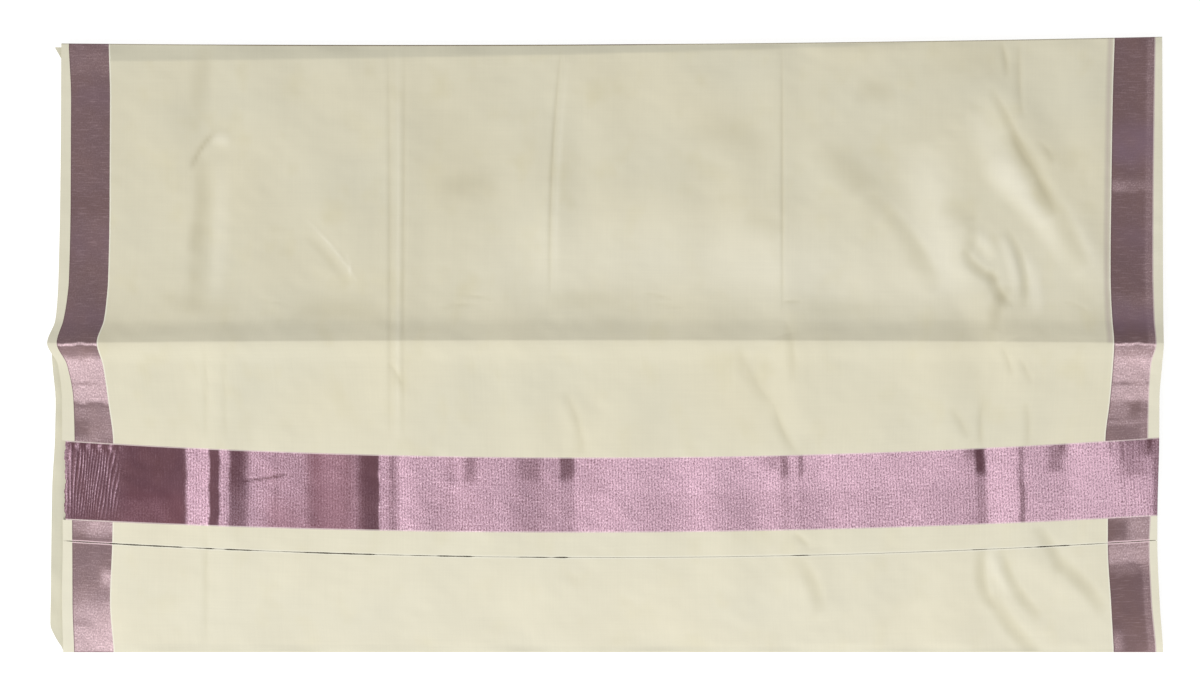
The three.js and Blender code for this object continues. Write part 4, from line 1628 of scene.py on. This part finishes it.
    def build(self) -> None:
        rows = self.rows()
        lines = ((INNER_LEFT + 0.6, 1.1), (INNER_RIGHT - 0.6, 1.1))
        cotton = CottonFinish("cotton_ground", edge_lines=lines, top_zone=True).material()
        edge = CottonFinish("cotton_selvedge", colour=(0.62, 0.59, 0.47, 1.0)).material()
        border = BORDER_ZARI.material()
        band = BAND_ZARI.material()
        ground = graded(INNER_LEFT, INNER_RIGHT, self.ground_steps, GROUND_COLUMNS)
        left = graded(EDGE_LEFT, OUTER_LEFT, self.selvedge_steps)
        right = graded(OUTER_RIGHT, EDGE_RIGHT, self.selvedge_steps)
        zones = (
            ("ground", ground, cotton, "cotton_ground"),
            ("selvedge_left", left, edge, "cotton_selvedge"),
            ("border_left", graded(OUTER_LEFT, INNER_LEFT, self.border_steps), border, "zari_border"),
            ("border_right", graded(INNER_RIGHT, OUTER_RIGHT, self.border_steps), border, "zari_border"),
            ("selvedge_right", right, edge, "cotton_selvedge"),
        )
        for name, columns, material, slot in zones:
            for part in ("upper", "lower"):
                piece = self.zone(f"{name}_{part}", columns, rows[part], material, part == "upper")
                declare(piece, self.woven(columns, rows[part]))
        mesh = ShellMesh()
        at = rows["band"][0]
        columns = graded(EDGE_LEFT + self.band_inset, EDGE_RIGHT, self.across_band_steps, BAND_COLUMNS)
        tone, tint = self.band_tone(columns, at), self.band_tint(columns, at)
        self.flat_shell(mesh, columns, at, tone, tint, frayed=True)
        piece = mesh.build("pallu_band_cloth", band)
        declare(piece, self.woven(columns, rows["band"]))

    def woven(self, columns: np.ndarray, rows: list[np.ndarray]) -> tuple[float, float]:
        """The woven size of a zone across and along the cloth, in metres."""
        return (columns[-1] - columns[0]) * MM, (rows[0][0] - rows[-1][-1]) * MM

    def zone(self, name: str, columns: np.ndarray, rows: list[np.ndarray], material: bpy.types.Material,
             upper: bool) -> bpy.types.Object:
        """Makes one zone above or below the band.

        Args:
            name: Name of the node that it stands for.
            columns: Places across the cloth.
            rows: Weft lines of each shell.
            material: Its finish.
            upper: Whether it lies above the band.

        Returns:
            The piece.
        """
        mesh = ShellMesh()
        for at in rows:
            tone, tint = np.zeros((len(at), len(columns))), None
            if name.startswith("ground"):
                tone = self.ground_tone(columns, at)
            elif name.startswith("border"):
                tone = self.border_tone(columns, at, "left" in name)
                tint = self.border_tint(columns, at, "left" in name)
            self.flat_shell(mesh, columns, at, tone, tint)
        self.fold_shell(mesh, columns, upper, self.fold_tone if name.startswith("border") else 0.0)
        return mesh.build(f"{name}_cloth", material)


@dataclass
class UnderLengths:
    """The lengths folded under the top one: the second, and the rest in one long run to and fro."""

    lie: ClothLie
    wall: float = 0.4
    floor: float = 0.25
    columns: int = 72
    turn_steps: int = 8
    clearance: float = 0.4  # from the stack's surface down to the level of the first length
    weave_offset: float = 800.0  # keeps the second length's weave apart from that of the top one
    second_steps: int = 120
    second_short: float = 1.5  # by which the second length ends before the lower fold
    leftmost: float = -14.0
    right_inset: float = 1.5
    flutter: float = 0.35
    flutter_from: float = 3.0
    flutter_reach: float = 6.0
    hidden_steps: int = 40
    hidden_seed: int = 40
    fold_inset: float = 1.2
    fold_stray: float = 2.0
    inset: float = 1.5
    stray: float = 1.1
    stray_share: float = 0.6

    def share(self, number: int) -> float:
        """How high in the stack a length lies, from 0 for the last to 1 for the first."""
        return (LENGTHS - number) / (LENGTHS - 1)

    def level(self, points: np.ndarray, share: np.ndarray | float) -> np.ndarray:
        """Lowers points of the stack's surface to a length's level.

        Args:
            points: Points of the surface.
            share: The length's share of the stack's height.

        Returns:
            The lowered points.
        """
        points = points.copy()
        top = points[..., 2] - self.clearance
        points[..., 2] = self.floor + (top - self.floor) * share
        return points

    def tucked(self, across: np.ndarray, left: np.ndarray, right: np.ndarray) -> np.ndarray:
        """How far each point moves so that a length's edges lie inside the top one's.

        Args:
            across: Places across the cloth.
            left: How far the left edge lies to the right of the top one's, on each weft line.
            right: How far the right edge lies to the left of it.

        Returns:
            A grid of shifts along X.
        """
        share = across[None, :] / EDGE_RIGHT
        return left[:, None] * (1 - share) - right[:, None] * share

    def second(self) -> None:
        """Makes the second length, whose left edge shows."""
        edge = Curve(*zip(*SECOND_EDGE))
        at = graded(UPPER_FOLD, LOWER_FOLD - self.second_short, self.second_steps, SECOND_ROWS)
        across = graded(EDGE_LEFT, EDGE_RIGHT, self.second_steps, SECOND_COLUMNS)
        shift = np.maximum(edge(at) - self.lie.lines(at)[:, 0], self.leftmost)
        points = self.level(self.lie.place(across, at), self.share(2))
        points[..., 0] += self.tucked(across, shift, np.full_like(at, self.right_inset))
        x, y = points[..., 0], points[..., 1]
        near_edge = np.exp(-np.maximum(across - self.flutter_from, 0.0) / self.flutter_reach)[None, :]
        points[..., 2] += self.flutter * near_edge * Ripple(21, 18, 60, 1.0)(x, y)
        # This length's darker colour is painted shade from the top length's edge, and its gap line places a
        # painted shadow where it shows through the open cut line.
        gap_line = CUT_LINE + self.weave_offset
        material = CottonFinish("cotton_under", colour=(0.53, 0.51, 0.40, 1.0), gap_line=gap_line).material()
        mesh = ShellMesh()
        normal = facing(points)
        weave = np.stack(np.broadcast_arrays(across[None, :], at[:, None] + self.weave_offset), axis=-1)
        tone = np.zeros(points.shape[:2])
        mesh.add(points, points - normal * self.wall, weave, tone, -normal * self.wall, stride=4)
        piece = mesh.build("second_stretch_cloth", material)
        declare(piece, (EDGE_RIGHT * MM, (at[0] - at[-1]) * MM))

    def run(self) -> tuple[np.ndarray, np.ndarray, np.ndarray]:
        """The long run of the hidden lengths.

        Returns:
            A grid of points, their places across, and how far along the run each row is.
        """
        across = np.linspace(EDGE_LEFT, EDGE_RIGHT, self.columns + 1)
        blocks = []
        for number in range(3, LENGTHS + 1):
            down = number % 2 == 1
            draw = np.random.default_rng(self.hidden_seed + number)
            reach = FOLD_ROOM - self.fold_inset - draw.uniform(0.0, self.fold_stray, 2)
            at = graded(UPPER_FOLD + reach[0], LOWER_FOLD - reach[1], self.hidden_steps, HIDDEN_ROWS)
            phase = draw.uniform(0, 2 * math.pi, 3)
            wander = np.sin(at / 83.0 + phase[0]) + 0.6 * np.sin(at / 37.0 + phase[1])
            stray = self.stray * np.stack([wander, -wander]).clip(-1.0) * self.stray_share
            points = self.level(self.lie.place(across, at), self.share(number))
            points[..., 0] += self.tucked(across, *(self.inset + stray))
            blocks.append(points if down else points[::-1])
        rows = [blocks[0]]
        for above, below in zip(blocks, blocks[1:]):
            rows.append(self.turn(rows[-1][-1], below[0]))
            rows.append(below)
        points = np.concatenate(rows)
        step = np.linalg.norm(np.diff(points[:, self.columns // 2], axis=0), axis=-1)
        return points, across, np.concatenate(([0.0], np.cumsum(step)))

    def turn(self, above: np.ndarray, below: np.ndarray) -> np.ndarray:
        """The round fold between the end of one length and the start of the next.

        Args:
            above: Last row of the upper length.
            below: First row of the lower one.

        Returns:
            The rows between them.
        """
        side = 1.0 if above[0, 1] > 0 else -1.0
        angle = np.linspace(0, math.pi, self.turn_steps + 1)[1:-1, None, None]
        middle = (above + below) / 2
        half = (above - below) / 2
        bulge = np.abs(half[:, 2:3]) * np.array([0.0, side, 0.0])
        return middle + half * np.cos(angle) + bulge * np.sin(angle)

    def rest(self) -> None:
        """Makes the other lengths, folded to and fro in one run."""
        points, across, along = self.run()
        normal = facing(points)
        normal = np.where(normal[:1, :1, 2:] < 0, -normal, normal)
        half = normal * self.wall / 2
        weave = np.stack(np.broadcast_arrays(across[None, :], along[:, None]), axis=-1)
        mesh = ShellMesh()
        material = CottonFinish("cotton_layers", colour=(0.55, 0.52, 0.40, 1.0)).material()
        mesh.add(points + half, points - half, weave, np.zeros(points.shape[:2]), -2 * half)
        piece = mesh.build("folded_layers_cloth", material)
        declare(piece, (EDGE_RIGHT * MM, along[-1] * MM))


@dataclass
class CutLineThreads:
    """The bare warp threads that cross the open line where no weft was woven."""

    lie: ClothLie
    pitch: float = 1.5
    radius: float = 0.14
    length: float = 3.0
    seed: int = 5
    stations: int = 240
    sides: int = 5
    margin: float = 0.5
    sunk: float = 0.2
    tilt: float = 0.03
    lean: float = 0.22

    def path(self) -> bpy.types.Object:
        """A chain of points along the open line, to set the threads on.

        Returns:
            The chain, an object of edges alone.
        """
        across = np.linspace(OUTER_LEFT + self.margin, OUTER_RIGHT - self.margin, self.stations)
        stretch = TopStretch(self.lie)
        points = stretch.surface(across, np.array([CUT_LINE]))[0][0]
        points[:, 2] -= self.sunk
        mesh = bpy.data.meshes.new("cut_line_path")
        mesh.from_pydata((points * MM).tolist(), [(k, k + 1) for k in range(self.stations - 1)], [])
        piece = bpy.data.objects.new("cut_line_path", mesh)
        bpy.context.scene.collection.objects.link(piece)
        return piece

    def tree(self, material: bpy.types.Material) -> bpy.types.GeometryNodeTree:
        """The node tree that sets one thread after another on the path.

        Args:
            material: Finish of the threads.

        Returns:
            The tree.
        """
        tree = bpy.data.node_groups.new("cut_line_threads", "GeometryNodeTree")
        face = tree.interface
        face.new_socket("Geometry", in_out="INPUT", socket_type="NodeSocketGeometry")
        for name in ("Pitch", "Radius", "Length"):
            face.new_socket(name, in_out="INPUT", socket_type="NodeSocketFloat")
        face.new_socket("Seed", in_out="INPUT", socket_type="NodeSocketInt")
        face.new_socket("Geometry", in_out="OUTPUT", socket_type="NodeSocketGeometry")
        new, link = tree.nodes.new, tree.links.new
        given, result = new("NodeGroupInput"), new("NodeGroupOutput")
        curve, resample = new("GeometryNodeMeshToCurve"), new("GeometryNodeResampleCurve")
        resample.mode = "LENGTH"
        thread, put = new("GeometryNodeMeshCylinder"), new("GeometryNodeInstanceOnPoints")
        thread.inputs["Vertices"].default_value = self.sides
        lean = new("FunctionNodeRandomValue")
        lean.data_type = "FLOAT_VECTOR"
        quarter = math.pi / 2
        lean.inputs["Min"].default_value = (quarter - self.tilt, 0.0, -self.lean)
        lean.inputs["Max"].default_value = (quarter + self.tilt, 0.0, self.lean)
        realize, finish = new("GeometryNodeRealizeInstances"), new("GeometryNodeSetMaterial")
        finish.inputs["Material"].default_value = material
        link(given.outputs["Geometry"], curve.inputs["Mesh"])
        link(curve.outputs["Curve"], resample.inputs["Curve"])
        link(given.outputs["Pitch"], resample.inputs["Length"])
        link(resample.outputs["Curve"], put.inputs["Points"])
        link(given.outputs["Radius"], thread.inputs["Radius"])
        link(given.outputs["Length"], thread.inputs["Depth"])
        link(thread.outputs["Mesh"], put.inputs["Instance"])
        link(given.outputs["Seed"], lean.inputs["Seed"])
        link(lean.outputs["Value"], put.inputs["Rotation"])
        link(put.outputs["Instances"], realize.inputs["Geometry"])
        link(realize.outputs["Geometry"], finish.inputs["Geometry"])
        link(finish.outputs["Geometry"], result.inputs["Geometry"])
        return tree

    def build(self) -> None:
        """Makes the threads as one plain mesh."""
        path = self.path()
        finish = CottonFinish("warp_thread", colour=(0.66, 0.63, 0.52, 1.0)).material()
        tree = self.tree(finish)
        modifier = path.modifiers.new("threads", "NODES")
        modifier.node_group = tree
        sizes = {"Pitch": self.pitch * MM, "Radius": self.radius * MM, "Length": self.length * MM}
        sizes["Seed"] = self.seed
        for item in tree.interface.items_tree:
            if item.in_out == "INPUT" and item.name in sizes:
                modifier[item.identifier] = sizes[item.name]
        ready = path.evaluated_get(bpy.context.evaluated_depsgraph_get())
        mesh = bpy.data.meshes.new_from_object(ready)
        path.modifiers.clear()
        bpy.data.objects.remove(path)
        piece = bpy.data.objects.new("cut_line_threads", mesh)
        bpy.context.scene.collection.objects.link(piece)
        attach(piece, BODY)
        LOG.info("%s: %d faces", piece.name, len(mesh.polygons))


@dataclass
class Studio:
    """The floor, the lights and the camera, in metres."""

    floor_side: float = 16.0
    floor_colour: tuple[float, float, float, float] = (0.3, 0.3, 0.3, 1.0)
    floor_glow: float = 0.84
    floor_roughness: float = 0.9
    camera_height: float = 9.0
    frame_width: float = 1.26
    centre: tuple[float, float] = (-0.0063, -0.0058)
    sensor: float = 36.0
    clip_end: float = 50.0
    surface: float = 0.02
    key_place: tuple[float, float, float] = (-4.24, -7.35, 8.49)
    key_size: tuple[float, float] = (8.0, 6.0)
    key_power: float = 1400.0
    sky: float = 0.55

    def floor(self) -> None:
        """Lays the pale floor."""
        half = self.floor_side / 2
        mesh = bpy.data.meshes.new("floor")
        corners = [(-half, -half, 0), (half, -half, 0), (half, half, 0), (-half, half, 0)]
        mesh.from_pydata(corners, [], [(0, 1, 2, 3)])
        material = bpy.data.materials.new("floor")
        material.use_nodes = True
        shader = material.node_tree.nodes["Principled BSDF"]
        shader.inputs["Base Color"].default_value = self.floor_colour
        shader.inputs["Roughness"].default_value = self.floor_roughness
        shader.inputs["Emission Color"].default_value = WHITE
        shader.inputs["Emission Strength"].default_value = self.floor_glow
        mesh.materials.append(material)
        piece = bpy.data.objects.new("floor", mesh)
        bpy.context.scene.collection.objects.link(piece)

    def lights(self) -> None:
        """Sets the soft light from the lower side and the pale surround."""
        light = bpy.data.lights.new("key", "AREA")
        light.shape = "RECTANGLE"
        light.size, light.size_y = self.key_size
        light.energy = self.key_power
        lamp = bpy.data.objects.new("key", light)
        lamp.location = self.key_place
        lamp.rotation_euler = Vector(self.key_place).to_track_quat("Z", "Y").to_euler()
        bpy.context.scene.collection.objects.link(lamp)
        world = bpy.data.worlds.new("surround")
        world.use_nodes = True
        background = world.node_tree.nodes["Background"]
        background.inputs["Color"].default_value = WHITE
        background.inputs["Strength"].default_value = self.sky
        bpy.context.scene.world = world

    def camera(self) -> None:
        """Sets the camera straight above, its upper side towards +Y."""
        data = bpy.data.cameras.new("camera")
        data.sensor_width = self.sensor
        data.lens = self.sensor * (self.camera_height - self.surface) / self.frame_width
        data.clip_end = self.clip_end
        camera = bpy.data.objects.new("camera", data)
        camera.location = (*self.centre, self.camera_height)
        bpy.context.scene.collection.objects.link(camera)
        bpy.context.scene.camera = camera

    def build(self) -> None:
        """Sets up the whole studio."""
        self.floor()
        self.lights()
        self.camera()
        bpy.context.scene.view_settings.view_transform = "Standard"


def main() -> None:
    """Builds the saree and its studio."""
    logging.basicConfig(level=logging.INFO, format="%(name)s: %(message)s")
    lie = ClothLie()
    Studio().build()
    TopStretch(lie).build()
    under = UnderLengths(lie)
    under.second()
    under.rest()
    CutLineThreads(lie).build()


if __name__ == "__main__":
    main()
